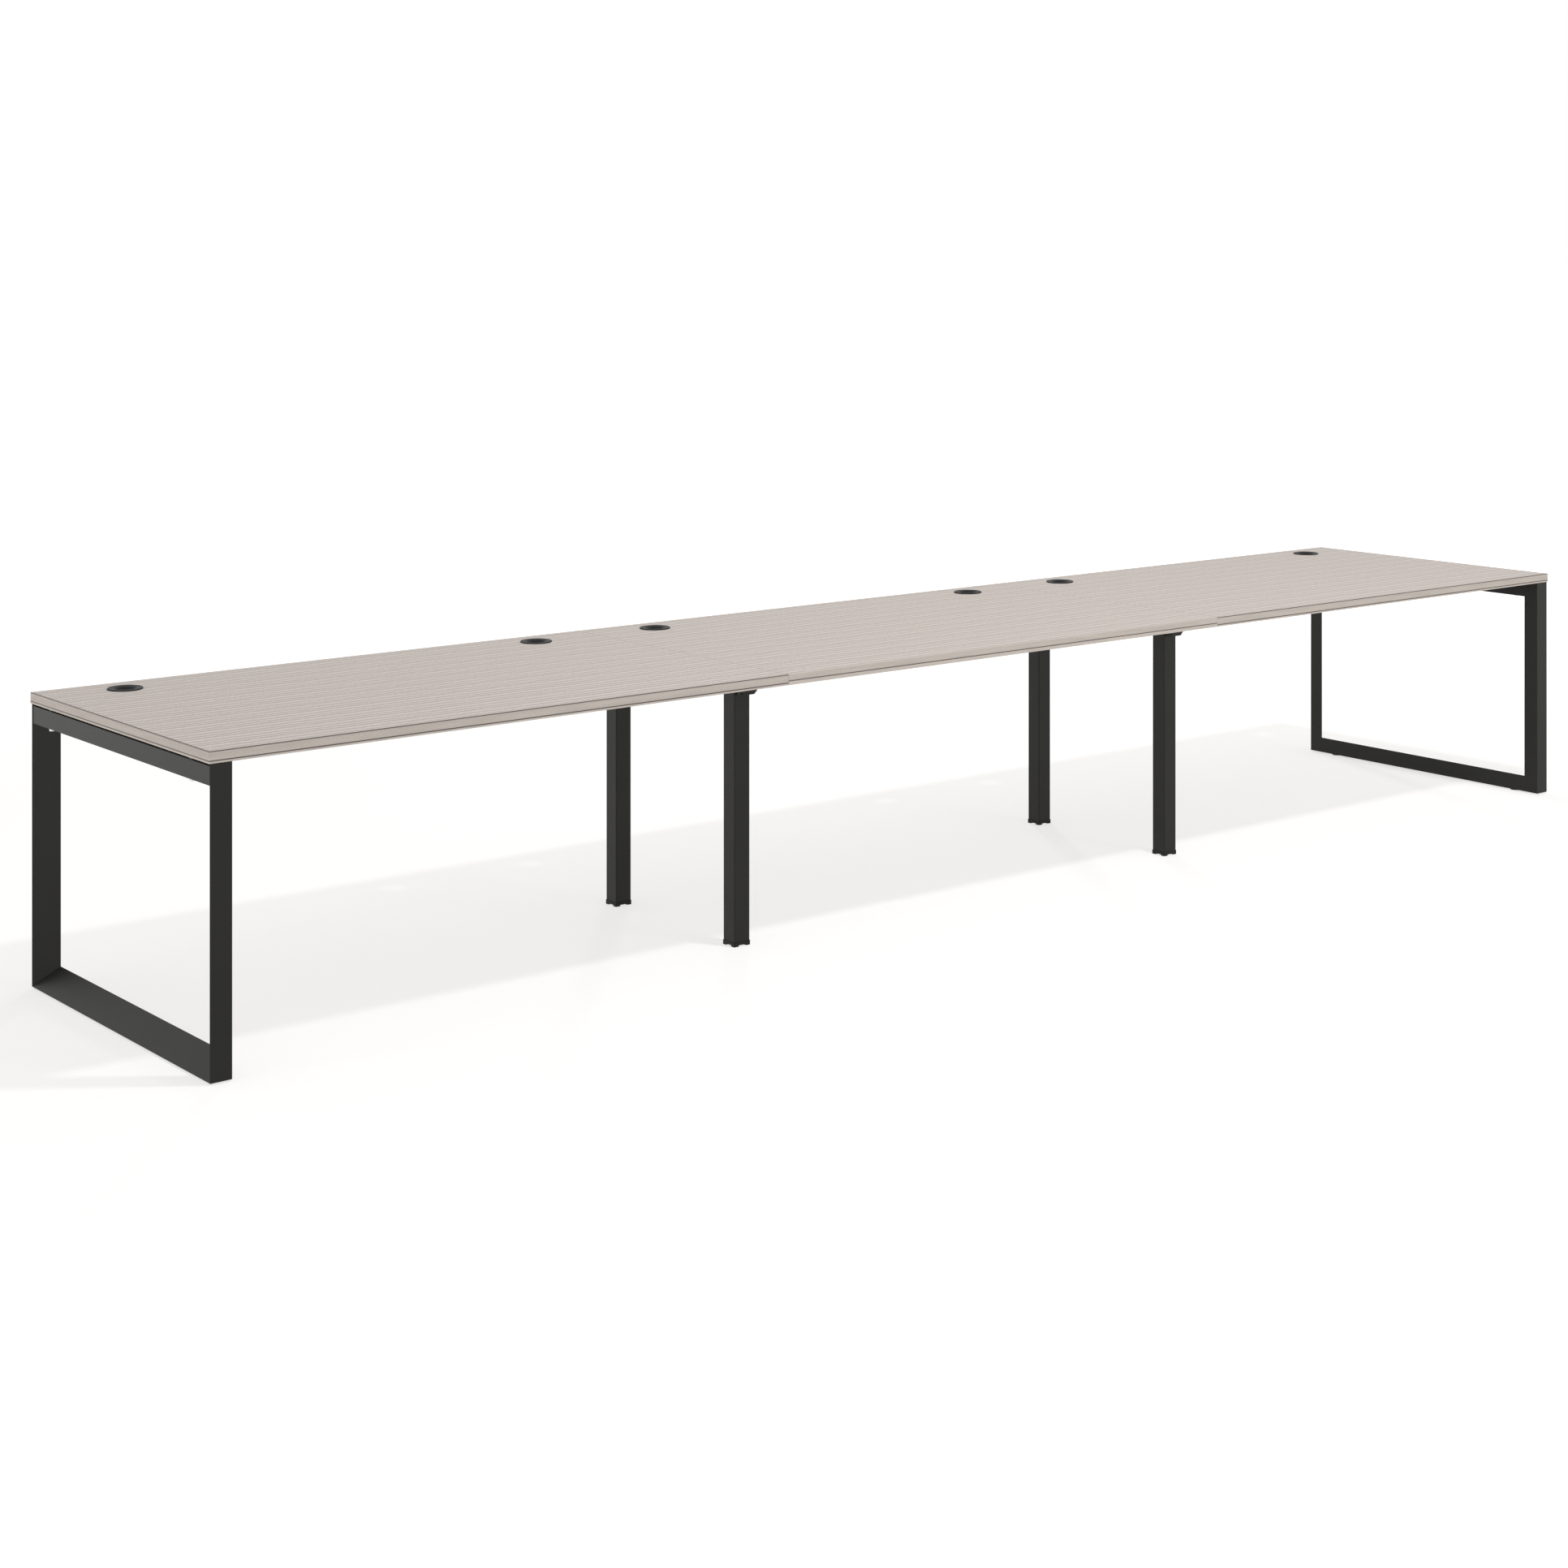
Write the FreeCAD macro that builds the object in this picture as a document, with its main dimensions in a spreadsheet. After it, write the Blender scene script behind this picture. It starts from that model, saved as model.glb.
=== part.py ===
"""Bench workstation: three worktops on two loop end frames and two pairs of posts.

Millimetres, +Z up, origin on the floor under the middle of the bench.
X runs along the bench, and its front edge faces -Y.
"""
import FreeCAD, Part
import math
import os
import re

import Sketcher

# Driving sizes, each set by itself
SIZES = {
    # Worktops
    "top_length": 1600,
    "top_depth": 1000,
    "top_thickness": 28,
    "seam_gap": 0.6,
    "edging_thickness": 2,
    "edging_round": 1,
    # Cable ports
    "port_hole_radius": 40,
    "port_end_inset": 200,
    "port_back_inset": 105,
    "port_flange_radius": 44,
    "port_flange_height": 3.4,
    "port_flange_dip": 0.4,
    "port_flange_round": 2.2,
    "port_sleeve_wall": 2.2,
    "port_sleeve_length": 24,
    "port_seat_depth": 4,
    "port_ledge_width": 3,
    "port_ledge_thickness": 2,
    "port_insert_rise": 2.8,
    "port_insert_wall": 2.2,
    "port_insert_throat": 11,
    "port_lead_radius": 12.5,
    "cable_hole_radius": 21.5,
    # End frames
    "frame_inset": 1.5,
    "frame_height": 703,
    "section_width": 54.5,
    "section_depth": 53.5,
    "tube_wall": 2,
    "tube_round": 1,
    "rail_height": 44,
    "rail_setback": 3,
    "spacer_height": 5.5,
    "spacer_radius": 6,
    "front_bolt_inset": 117,
    "rear_bolt_inset": 97,
    "bolt_setback": 11,
    "bolt_radius": 4,
    "bolt_head_flats": 13,
    "bolt_head_height": 5.3,
    "bolt_bite": 18,
    "washer_radius": 8,
    "washer_thickness": 1.6,
    # Glides under the floor bars
    "glide_height": 4,
    "glide_radius": 17,
    "glide_round": 1.5,
    "glide_inset": 107,
    "glide_setback": 22,
    "glide_stud_radius": 4,
    "glide_stud_length": 17,
    "glide_nut_radius": 7,
    "glide_nut_height": 12,
    # Posts and their feet
    "post_size": 50,
    "post_round": 3,
    "post_shift": 14,
    "front_post_inset": 207,
    "rear_post_inset": 238,
    "plug_skirt": 15,
    "foot_height": 11.5,
    "foot_overhang": 1.3,
    "foot_channel_width": 24,
    "foot_channel_height": 3.5,
    "foot_stud_radius": 5,
    "foot_stud_length": 30,
    "foot_socket_height": 25,
    "cross_rail_width": 40,
    "cross_rail_height": 40,
    # Folded brackets beside the posts
    "bracket_depth": 20,
    "bracket_height": 45,
    "bracket_setback": 5,
    "bracket_sheet": 3,
    "bracket_bend": 3,
    "bracket_relief_radius": 2.5,
    "bracket_relief_inset": 4.5,
    "bracket_notch": 5,
    "bracket_reach": 20,
    "screw_radius": 2.25,
    "screw_head_radius": 4.5,
    "screw_head_height": 2.6,
    "screw_bite": 15,
    # Beams between the frames and the posts
    "beam_width": 40,
    "beam_height": 30,
    "spigot_length": 60,
    "lock_radius": 4,
    "lock_head_radius": 6.5,
    "lock_head_height": 3.5,
    "lock_bite": 10,
    # Clearances
    "fit_clearance": 0.3,
    "insert_clearance": 0.4,
    "stud_clearance": 0.25,
    "overrun": 1,
}

# Places worked out from the driving sizes
PLACES = {
    "half_length": "1.5 * top_length + seam_gap",
    "half_depth": "top_depth / 2",
    "seam_x": "(top_length + seam_gap) / 2",
    "edging_middle": "half_depth - edging_thickness / 2",
    "top_underside": "glide_height + frame_height",
    "top_face": "top_underside + top_thickness",
    "frame_outer": "half_length - frame_inset",
    "frame_inner": "frame_outer - section_width",
    "frame_end": "half_depth - frame_inset",
    "rail_top": "top_underside - spacer_height",
    "rail_bottom": "rail_top - rail_height",
    "rail_outer": "frame_outer - rail_setback",
    "section_slope": "section_depth / section_width",
    "slant_wall": "tube_wall * sqrt(1 + section_slope ^ 2)",
    "hollow_tip": "(tube_wall + slant_wall) / section_slope",
    "hollow_side": "section_width - tube_wall",
    "hollow_crest": "hollow_side * section_slope - slant_wall",
    "rail_end": "frame_end - rail_setback * section_slope",
    "mitre_reach": "section_depth + overrun",
    "bolt_x": "rail_outer - bolt_setback",
    "bolt_hole_radius": "bolt_radius + fit_clearance",
    "front_bolt_y": "half_depth - front_bolt_inset",
    "rear_bolt_y": "half_depth - rear_bolt_inset",
    "glide_x": "frame_inner + glide_setback",
    "glide_y": "half_depth - glide_inset",
    "glide_bore_radius": "glide_stud_radius + stud_clearance",
    "left_post_x": "-seam_x - post_shift",
    "right_post_x": "seam_x - post_shift",
    "front_post_y": "half_depth - front_post_inset",
    "rear_post_y": "half_depth - rear_post_inset",
    "half_post": "post_size / 2",
    "post_bore": "half_post - tube_wall",
    "plug_half": "post_bore - fit_clearance",
    "foot_half": "half_post + foot_overhang",
    "bracket_bottom": "top_underside - bracket_height",
    "bracket_screw_y": "half_post + bracket_depth / 2",
    "far_screw": "half_post + bracket_reach",
    "screw_hole_radius": "screw_radius + fit_clearance",
    "beam_bottom": "rail_top - beam_height",
    "spigot_half": "beam_width / 2 - tube_wall - fit_clearance",
    "spigot_bottom": "beam_bottom + tube_wall + fit_clearance",
    "spigot_height": "beam_height - 2 * tube_wall - 2 * fit_clearance",
    "lock_hole_radius": "lock_radius + fit_clearance",
    "sleeve_radius": "port_hole_radius - fit_clearance",
    "sleeve_bore": "sleeve_radius - port_sleeve_wall",
    "ledge_radius": "sleeve_bore - port_ledge_width",
    "insert_radius": "sleeve_bore - insert_clearance",
    "throat_radius": "cable_hole_radius + port_insert_wall",
    "lead_start": "cable_hole_radius + port_lead_radius",
    "lead_middle": "(cable_hole_radius + lead_start) / 2",
    "lead_level": "port_insert_rise - port_lead_radius",
    "lead_inside": "port_lead_radius - port_insert_wall",
}

# Signs and rows that the repeated pieces are set out by
LEFT, RIGHT = ("left", "-1"), ("right", "1")
FRONT, REAR = ("front", "-1"), ("rear", "1")
BAYS = {"left": "-1", "middle": "0", "right": "1"}
POSTS = (("left", "left_post_x"), ("right", "right_post_x"))
POST_ROWS = (("front", "-1 * front_post_y", "-1"), ("rear", "rear_post_y", "1"))
BEAM_SPANS = (
    ("left", "-1 * frame_inner", "left_post_x - half_post"),
    ("middle", "left_post_x + half_post", "right_post_x - half_post"),
    ("right", "right_post_x + half_post", "frame_inner"),
)
BOLT_ROWS = ("-1 * front_bolt_y", "rear_bolt_y")

# What comes up into each worktop from below
BAY_BOLTS = {"left": ("-1 * bolt_x",), "middle": (), "right": ("bolt_x",)}
BAY_SCREWS = {
    "left": ("left_post_x",),
    "middle": ("left_post_x + far_screw", "right_post_x"),
    "right": ("right_post_x + far_screw",),
}

# Least cosine of the angle to an axis for an edge that runs along it
PARALLEL = 0.999999

# Greatest distance of an edge from a plane that it lies in
PLANE = 0.001

doc = FreeCAD.newDocument("bench_workstation")
nodes = []


def formula(text):
    """Point every size and place named in the text at the object that holds it."""
    def owner(word):
        name = word.group()
        if name in SIZES:
            return "sizes." + name
        if name in PLACES:
            return "places." + name
        return name
    return re.sub(r"[a-z_]+", owner, text)


def make_sheet():
    """Put the driving sizes into a sheet, one named cell each."""
    sheet = doc.addObject("Spreadsheet::Sheet", "sizes")
    for row, (name, number) in enumerate(SIZES.items(), 1):
        sheet.set(f"A{row}", name)
        sheet.set(f"B{row}", str(number))
        sheet.setAlias(f"B{row}", name)


def make_places():
    """Work the places out from the sheet."""
    places = doc.addObject("App::VarSet", "places")
    for name, text in PLACES.items():
        places.addProperty("App::PropertyFloat", name)
        places.setExpression(name, formula(text))


def new_body(name):
    """Start a sub-part whose label names its file."""
    body = doc.addObject("PartDesign::Body", name)
    body.Label = name
    body.AllowCompound = True
    nodes.append(body)
    return body


def hold(sketch, kind, item, point, start, text):
    """Hold a point at a signed distance from the sketch's origin."""
    index = sketch.addConstraint(Sketcher.Constraint(kind, -1, 1, item, point, start))
    sketch.setExpression(f"Constraints[{index}]", formula(text))


def polygon(*corners):
    """Closed loop of straight lines, with a pair of formulas for each corner."""
    def draw(sketch):
        first = sketch.GeometryCount
        count = len(corners)
        turns = [2 * math.pi * number / count for number in range(count)]
        rough = [FreeCAD.Vector(math.cos(turn), math.sin(turn), 0) for turn in turns]
        for number in range(count):
            sketch.addGeometry(Part.LineSegment(rough[number], rough[(number + 1) % count]))
        for number in range(count):
            follower = first + (number + 1) % count
            sketch.addConstraint(Sketcher.Constraint("Coincident", first + number, 2, follower, 1))
        for number, (across, up) in enumerate(corners):
            hold(sketch, "DistanceX", first + number, 1, rough[number].x, across)
            hold(sketch, "DistanceY", first + number, 1, rough[number].y, up)
    return draw


def rectangle(low_across, low_up, high_across, high_up):
    """Loop round a rectangle between two corners."""
    return polygon(
        (low_across, low_up),
        (high_across, low_up),
        (high_across, high_up),
        (low_across, high_up),
    )


def square(across, up, half):
    """Loop round a square about a centre."""
    return rectangle(f"{across} - {half}", f"{up} - {half}", f"{across} + {half}", f"{up} + {half}")


def hexagon(across, up, flats):
    """Loop round a hexagon about a centre, given its width across flats."""
    tip = f"{flats} / sqrt(3)"
    return polygon(
        (f"{across} + {tip}", up),
        (f"{across} + {tip} / 2", f"{up} + {flats} / 2"),
        (f"{across} - {tip} / 2", f"{up} + {flats} / 2"),
        (f"{across} - {tip}", up),
        (f"{across} - {tip} / 2", f"{up} - {flats} / 2"),
        (f"{across} + {tip} / 2", f"{up} - {flats} / 2"),
    )


def circle(across, up, radius):
    """Loop round a circle."""
    def draw(sketch):
        item = sketch.addGeometry(Part.Circle(FreeCAD.Vector(1, 1, 0), FreeCAD.Vector(0, 0, 1), 1))
        hold(sketch, "DistanceX", item, 3, 1, across)
        hold(sketch, "DistanceY", item, 3, 1, up)
        index = sketch.addConstraint(Sketcher.Constraint("Radius", item, 1))
        sketch.setExpression(f"Constraints[{index}]", formula(radius))
    return draw


def profile(body, role, level, loops):
    """Sketch loops on one of the body's origin planes, lifted along its positive axis."""
    sketch = body.newObject("Sketcher::SketchObject", body.Name + "_profile")
    plane = next(item for item in body.Origin.OriginFeatures if item.Role == role)
    sketch.AttachmentSupport = [(plane, "")]
    sketch.MapMode = "FlatFace"
    lift = f"-1 * ({level})" if role == "XZ_Plane" else level
    sketch.setExpression("AttachmentOffset.Base.z", formula(lift))
    for draw in loops:
        draw(sketch)
    return sketch


def extrude(body, kind, role, level, length, *loops):
    """Add (Pad) or cut (Pocket) loops from a level along the positive axis of their plane."""
    sketch = profile(body, role, level, loops)
    feature = body.newObject("PartDesign::" + kind, f"{body.Name}_{kind.lower()}")
    feature.Profile = sketch
    feature.setExpression("Length", formula(length))
    feature.Reversed = (role == "XZ_Plane") == (kind == "Pad")


def revolve(body, *corners):
    """Turn a half section, given as radius and height, about the body's own upright axis."""
    sketch = profile(body, "XZ_Plane", "0", [polygon(*corners)])
    feature = body.newObject("PartDesign::Revolution", body.Name + "_turned")
    feature.Profile = sketch
    feature.ReferenceAxis = (sketch, ["V_Axis"])


def round_edges(body, radius, chosen):
    """Round the edges of the latest feature that a test picks."""
    doc.recompute()
    latest = body.Tip
    names = [f"Edge{number}" for number, edge in enumerate(latest.Shape.Edges, 1) if chosen(edge)]
    feature = body.newObject("PartDesign::Fillet", body.Name + "_rounded")
    feature.Base = (latest, names)
    feature.setExpression("Radius", formula(radius))


def runs_along(axis):
    """Test for straight edges along an axis."""
    def chosen(edge):
        return isinstance(edge.Curve, Part.Line) and abs(edge.Curve.Direction.dot(axis)) > PARALLEL
    return chosen


def is_upper_rim(edge):
    """Test for a circle above the level that a round piece is modelled from."""
    return isinstance(edge.Curve, Part.Circle) and edge.BoundBox.ZMin > 0


def is_flange_rim(edge):
    """Test for the outer rim of a port's flange, the widest circle above the board."""
    return is_upper_rim(edge) and edge.Curve.Radius > places.sleeve_radius


def is_lead_rim(edge):
    """Test for the upper rim of the cable hole, the narrowest circle above the board."""
    return is_upper_rim(edge) and edge.Curve.Radius < places.lead_middle


def is_rail_tip(edge):
    """Test for the sharp upright edges at the two outer tips of an end rail."""
    upright = runs_along(FreeCAD.Vector(0, 0, 1))(edge)
    return upright and abs(edge.BoundBox.Center.x) > (places.frame_inner + places.frame_outer) / 2


def is_bend(body):
    """Test for the outer edges of a bracket's two folds, beside its plate and above it."""
    def chosen(edge):
        whole, box = body.Shape.BoundBox, edge.BoundBox
        plate_y = max(abs(whole.YMin), abs(whole.YMax))
        on_plate = min(abs(box.YMin), abs(box.YMax)) > plate_y - PLANE
        return on_plate and (box.XMax < whole.XMin + PLANE or box.ZMin > whole.ZMax - PLANE)
    return chosen


def is_outline_edge(edge):
    """Test for the level edges round the outside of an edging band, above and below."""
    upright = runs_along(FreeCAD.Vector(0, 0, 1))(edge)
    return not upright and max(-edge.BoundBox.YMin, edge.BoundBox.YMax) > places.edging_middle


def place(body, x, y, z):
    """Set a body that is modelled about its own axis in its place."""
    for letter, text in zip("xyz", (x, y, z)):
        body.setExpression(f"Placement.Base.{letter}", formula(text))


def worktop_x(bay):
    """Middle of a worktop along the bench."""
    return f"{BAYS[bay]} * (top_length + seam_gap)"


def worktop_ends(bay):
    """Ends of a worktop along X."""
    middle = worktop_x(bay)
    return f"{middle} - top_length / 2", f"{middle} + top_length / 2"


def port_centres(bay):
    """Two cable ports near the back edge of a worktop."""
    start, end = worktop_ends(bay)
    for x in (f"{start} + port_end_inset", f"{end} - port_end_inset"):
        yield x, "half_depth - port_back_inset"


def bracket_screw_places(bay):
    """Screws up into a worktop through the brackets at its joints."""
    for x in BAY_SCREWS[bay]:
        for _, post_y, out in POST_ROWS:
            yield x, f"{post_y} + {out} * bracket_screw_y"


def bolt_places(bay):
    """Bolts up into a worktop through the end rail beside it."""
    for x in BAY_BOLTS[bay]:
        for y in BOLT_ROWS:
            yield x, y


def in_every_bay(spots):
    """The spots of all three bays, from left to right."""
    return [spot for bay in BAYS for spot in spots(bay)]


def post_places():
    """The four posts in plan."""
    for _, post_x in POSTS:
        for _, post_y, _ in POST_ROWS:
            yield post_x, post_y


def glide_places():
    """The four glides under the floor bars in plan."""
    for _, side_sign in (LEFT, RIGHT):
        for _, end_sign in (FRONT, REAR):
            yield f"{side_sign} * glide_x", f"{end_sign} * glide_y"


def spigot_spans():
    """Start and end along X, and the row, of the spigot in each end of each beam."""
    for _, start, end in BEAM_SPANS:
        for _, post_y, _ in POST_ROWS:
            yield start, f"{start} + spigot_length", post_y
            yield f"{end} - spigot_length", end, post_y


def lock_places():
    """A locking screw in the middle of each spigot."""
    for start, end, post_y in spigot_spans():
        yield f"({start} + {end}) / 2", post_y


def board_outline(bay):
    """Loop round the board of a worktop, inside its edging."""
    start, end = worktop_ends(bay)
    return rectangle(
        f"{start} + edging_thickness",
        "-1 * half_depth + edging_thickness",
        f"{end} - edging_thickness",
        "half_depth - edging_thickness",
    )


def make_worktops():
    """Boards with port holes, and blind holes from below for what holds them."""
    for bay in BAYS:
        board = new_body("worktop_" + bay)
        holes = [circle(x, y, "port_hole_radius") for x, y in port_centres(bay)]
        extrude(board, "Pad", "XY_Plane", "top_underside", "top_thickness", board_outline(bay), *holes)
        below = "top_underside - overrun"
        pilots = [circle(x, y, "screw_hole_radius") for x, y in bracket_screw_places(bay)]
        extrude(board, "Pocket", "XY_Plane", below, "screw_bite + 2 * overrun", *pilots)
        inserts = [circle(x, y, "bolt_hole_radius") for x, y in bolt_places(bay)]
        if inserts:
            extrude(board, "Pocket", "XY_Plane", below, "bolt_bite + 2 * overrun", *inserts)


def make_edgings():
    """Edging band round the four sides of each board, its outer edges eased."""
    for bay in BAYS:
        start, end = worktop_ends(bay)
        band = new_body("edging_" + bay)
        outside = rectangle(start, "-1 * half_depth", end, "half_depth")
        extrude(band, "Pad", "XY_Plane", "top_underside", "top_thickness", outside, board_outline(bay))
        round_edges(band, "edging_round", is_outline_edge)


def make_ports():
    """Collar with a rounded flange, and a loose insert on its ledge that leads down to a cable hole."""
    for number, (x, y) in enumerate(in_every_bay(port_centres), 1):
        sleeve = new_body(f"port_sleeve_{number}")
        revolve(
            sleeve,
            ("sleeve_bore", "-1 * port_sleeve_length"),
            ("sleeve_radius", "-1 * port_sleeve_length"),
            ("sleeve_radius", "0"),
            ("port_flange_radius", "0"),
            ("port_flange_radius", "port_flange_height"),
            ("sleeve_radius", "port_flange_height"),
            ("sleeve_bore", "port_flange_height - port_flange_dip"),
            ("sleeve_bore", "-1 * port_seat_depth"),
            ("ledge_radius", "-1 * port_seat_depth"),
            ("ledge_radius", "-1 * port_seat_depth - port_ledge_thickness"),
            ("sleeve_bore", "-1 * port_seat_depth - port_ledge_thickness"),
        )
        round_edges(sleeve, "port_flange_round", is_flange_rim)
        place(sleeve, x, y, "top_face")
        insert = new_body(f"port_insert_{number}")
        revolve(
            insert,
            ("cable_hole_radius", "-1 * port_insert_throat"),
            ("throat_radius", "-1 * port_insert_throat"),
            ("throat_radius", "lead_level"),
            ("lead_start - lead_inside / sqrt(2)", "lead_level + lead_inside / sqrt(2)"),
            ("lead_start", "lead_level + lead_inside"),
            ("lead_start", "-1 * port_seat_depth"),
            ("insert_radius", "-1 * port_seat_depth"),
            ("insert_radius", "port_insert_rise"),
            ("cable_hole_radius", "port_insert_rise"),
        )
        round_edges(insert, "port_lead_radius", is_lead_rim)
        place(insert, x, y, "top_face")


def section_corners(hollow):
    """Triangular tube section: distance in from the outer plane, then in from the loop's outside."""
    if hollow:
        return (
            ("hollow_tip", "tube_wall"),
            ("hollow_side", "tube_wall"),
            ("hollow_side", "hollow_crest"),
        )
    return (("0", "0"), ("section_width", "0"), ("section_width", "section_depth"))


def cut_mitre(body, side_sign, waste):
    """Cut a triangle seen from the end of the bench right through an end frame's width."""
    start = "-1 * frame_outer - overrun" if side_sign == "-1" else "frame_inner - overrun"
    extrude(body, "Pocket", "YZ_Plane", start, "section_width + 2 * overrun", waste)


def make_upright(side, side_sign, end, end_sign):
    """Upright of an end loop, mitred at the floor and closed at the top."""
    def loop(hollow):
        return polygon(*[
            (f"{side_sign} * (frame_outer - {width})", f"{end_sign} * (frame_end - {depth})")
            for width, depth in section_corners(hollow)
        ])
    body = new_body(f"{side}_frame_{end}_upright")
    extrude(body, "Pad", "XY_Plane", "glide_height", "frame_height", loop(False))
    round_edges(body, "tube_round", runs_along(FreeCAD.Vector(0, 0, 1)))
    hollow_height = "frame_height + overrun - tube_wall"
    extrude(body, "Pocket", "XY_Plane", "glide_height - overrun", hollow_height, loop(True))
    below_mitre = polygon(
        (f"{end_sign} * (frame_end + overrun)", "glide_height - overrun"),
        (f"{end_sign} * (frame_end - mitre_reach)", "glide_height + mitre_reach"),
        (f"{end_sign} * (frame_end - mitre_reach)", "glide_height - overrun"),
    )
    cut_mitre(body, side_sign, below_mitre)


def make_floor_bar(side, side_sign):
    """Floor bar of an end loop, mitred at both ends, with holes for the glides' studs."""
    def loop(hollow):
        return polygon(*[
            (f"{side_sign} * (frame_outer - {width})", f"glide_height + {depth}")
            for width, depth in section_corners(hollow)
        ])
    body = new_body(f"{side}_frame_floor_bar")
    extrude(body, "Pad", "XZ_Plane", "-1 * frame_end", "2 * frame_end", loop(False))
    round_edges(body, "tube_round", runs_along(FreeCAD.Vector(0, 1, 0)))
    through = "2 * frame_end + 2 * overrun"
    extrude(body, "Pocket", "XZ_Plane", "-1 * frame_end - overrun", through, loop(True))
    for _, end_sign in (FRONT, REAR):
        above_mitre = polygon(
            (f"{end_sign} * (frame_end + overrun)", "glide_height - overrun"),
            (f"{end_sign} * (frame_end + overrun)", "glide_height + mitre_reach"),
            (f"{end_sign} * (frame_end - mitre_reach)", "glide_height + mitre_reach"),
        )
        cut_mitre(body, side_sign, above_mitre)
    holes = [
        circle(f"{side_sign} * glide_x", f"{end_sign} * glide_y", "glide_bore_radius")
        for _, end_sign in (FRONT, REAR)
    ]
    extrude(body, "Pocket", "XY_Plane", "glide_height - overrun", "tube_wall + 2 * overrun", *holes)


def make_top_rail(side, side_sign):
    """Rectangular rail across the top of a loop, its ends coped to the uprights' sloping faces."""
    body = new_body(f"{side}_frame_top_rail")
    plan = polygon(
        (f"{side_sign} * rail_outer", "-1 * rail_end"),
        (f"{side_sign} * rail_outer", "rail_end"),
        (f"{side_sign} * frame_inner", "frame_end - section_depth"),
        (f"{side_sign} * frame_inner", "section_depth - frame_end"),
    )
    extrude(body, "Pad", "XY_Plane", "rail_bottom", "rail_height", plan)
    round_edges(body, "tube_round", is_rail_tip)
    round_edges(body, "tube_round", runs_along(FreeCAD.Vector(0, 1, 0)))
    hollow = rectangle(
        f"{side_sign} * (rail_outer - tube_wall)",
        "rail_bottom + tube_wall",
        f"{side_sign} * (frame_inner + tube_wall)",
        "rail_top - tube_wall",
    )
    through = "2 * frame_end + 2 * overrun"
    extrude(body, "Pocket", "XZ_Plane", "-1 * frame_end - overrun", through, hollow)
    holes = [circle(x, y, "bolt_hole_radius") for x, y in bolt_places(side)]
    extrude(body, "Pocket", "XY_Plane", "rail_bottom - overrun", "rail_height + 2 * overrun", *holes)


def make_end_frames():
    """Two loops, each of four welded tubes."""
    for side, side_sign in (LEFT, RIGHT):
        for end, end_sign in (FRONT, REAR):
            make_upright(side, side_sign, end, end_sign)
        make_floor_bar(side, side_sign)
        make_top_rail(side, side_sign)


def make_frame_fixings():
    """Spacers on the end rails, and the bolts and washers below them."""
    spots = in_every_bay(bolt_places)
    washer_bottom = "rail_bottom - washer_thickness"
    spacers = new_body("frame_spacers")
    for x, y in spots:
        rings = circle(x, y, "spacer_radius"), circle(x, y, "bolt_hole_radius")
        extrude(spacers, "Pad", "XY_Plane", "rail_top", "spacer_height", *rings)
    washers = new_body("frame_washers")
    for x, y in spots:
        rings = circle(x, y, "washer_radius"), circle(x, y, "bolt_hole_radius")
        extrude(washers, "Pad", "XY_Plane", washer_bottom, "washer_thickness", *rings)
    bolts = new_body("frame_bolts")
    heads = [hexagon(x, y, "bolt_head_flats") for x, y in spots]
    extrude(bolts, "Pad", "XY_Plane", f"{washer_bottom} - bolt_head_height", "bolt_head_height", *heads)
    shanks = [circle(x, y, "bolt_radius") for x, y in spots]
    grip = "washer_thickness + rail_height + spacer_height + bolt_bite"
    extrude(bolts, "Pad", "XY_Plane", washer_bottom, grip, *shanks)


def make_glides():
    """Round glides on studs under the floor bars, and the nuts inside the bars."""
    names = [f"glide_{side}_{end}" for side, _ in (LEFT, RIGHT) for end, _ in (FRONT, REAR)]
    for name, (x, y) in zip(names, glide_places()):
        glide = new_body(name)
        extrude(glide, "Pad", "XY_Plane", "0", "glide_height", circle(x, y, "glide_radius"))
        round_edges(glide, "glide_round", is_upper_rim)
        stud = circle(x, y, "glide_stud_radius")
        extrude(glide, "Pad", "XY_Plane", "glide_height", "glide_stud_length", stud)
    nuts = new_body("glide_nuts")
    for x, y in glide_places():
        rings = circle(x, y, "glide_nut_radius"), circle(x, y, "glide_bore_radius")
        extrude(nuts, "Pad", "XY_Plane", "glide_height + tube_wall", "glide_nut_height", *rings)


def make_posts():
    """Square tube posts with a cross rail between the two of each pair."""
    for side, post_x in POSTS:
        for row, post_y, _ in POST_ROWS:
            post = new_body(f"{side}_post_{row}")
            height = "rail_top - foot_height"
            extrude(post, "Pad", "XY_Plane", "foot_height", height, square(post_x, post_y, "half_post"))
            round_edges(post, "post_round", runs_along(FreeCAD.Vector(0, 0, 1)))
            bore = square(post_x, post_y, "post_bore")
            extrude(post, "Pocket", "XY_Plane", "foot_height - overrun", f"{height} + 2 * overrun", bore)
        rail = new_body(f"{side}_cross_rail")
        start = "half_post - front_post_y"
        length = "front_post_y + rear_post_y - post_size"
        rail_outline = rectangle(
            f"{post_x} - cross_rail_width / 2",
            "rail_top - cross_rail_height",
            f"{post_x} + cross_rail_width / 2",
            "rail_top",
        )
        extrude(rail, "Pad", "XZ_Plane", start, length, rail_outline)
        round_edges(rail, "tube_round", runs_along(FreeCAD.Vector(0, 1, 0)))
        rail_hollow = rectangle(
            f"{post_x} - cross_rail_width / 2 + tube_wall",
            "rail_top - cross_rail_height + tube_wall",
            f"{post_x} + cross_rail_width / 2 - tube_wall",
            "rail_top - tube_wall",
        )
        extrude(rail, "Pocket", "XZ_Plane", f"{start} - overrun", f"{length} + 2 * overrun", rail_hollow)


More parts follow.
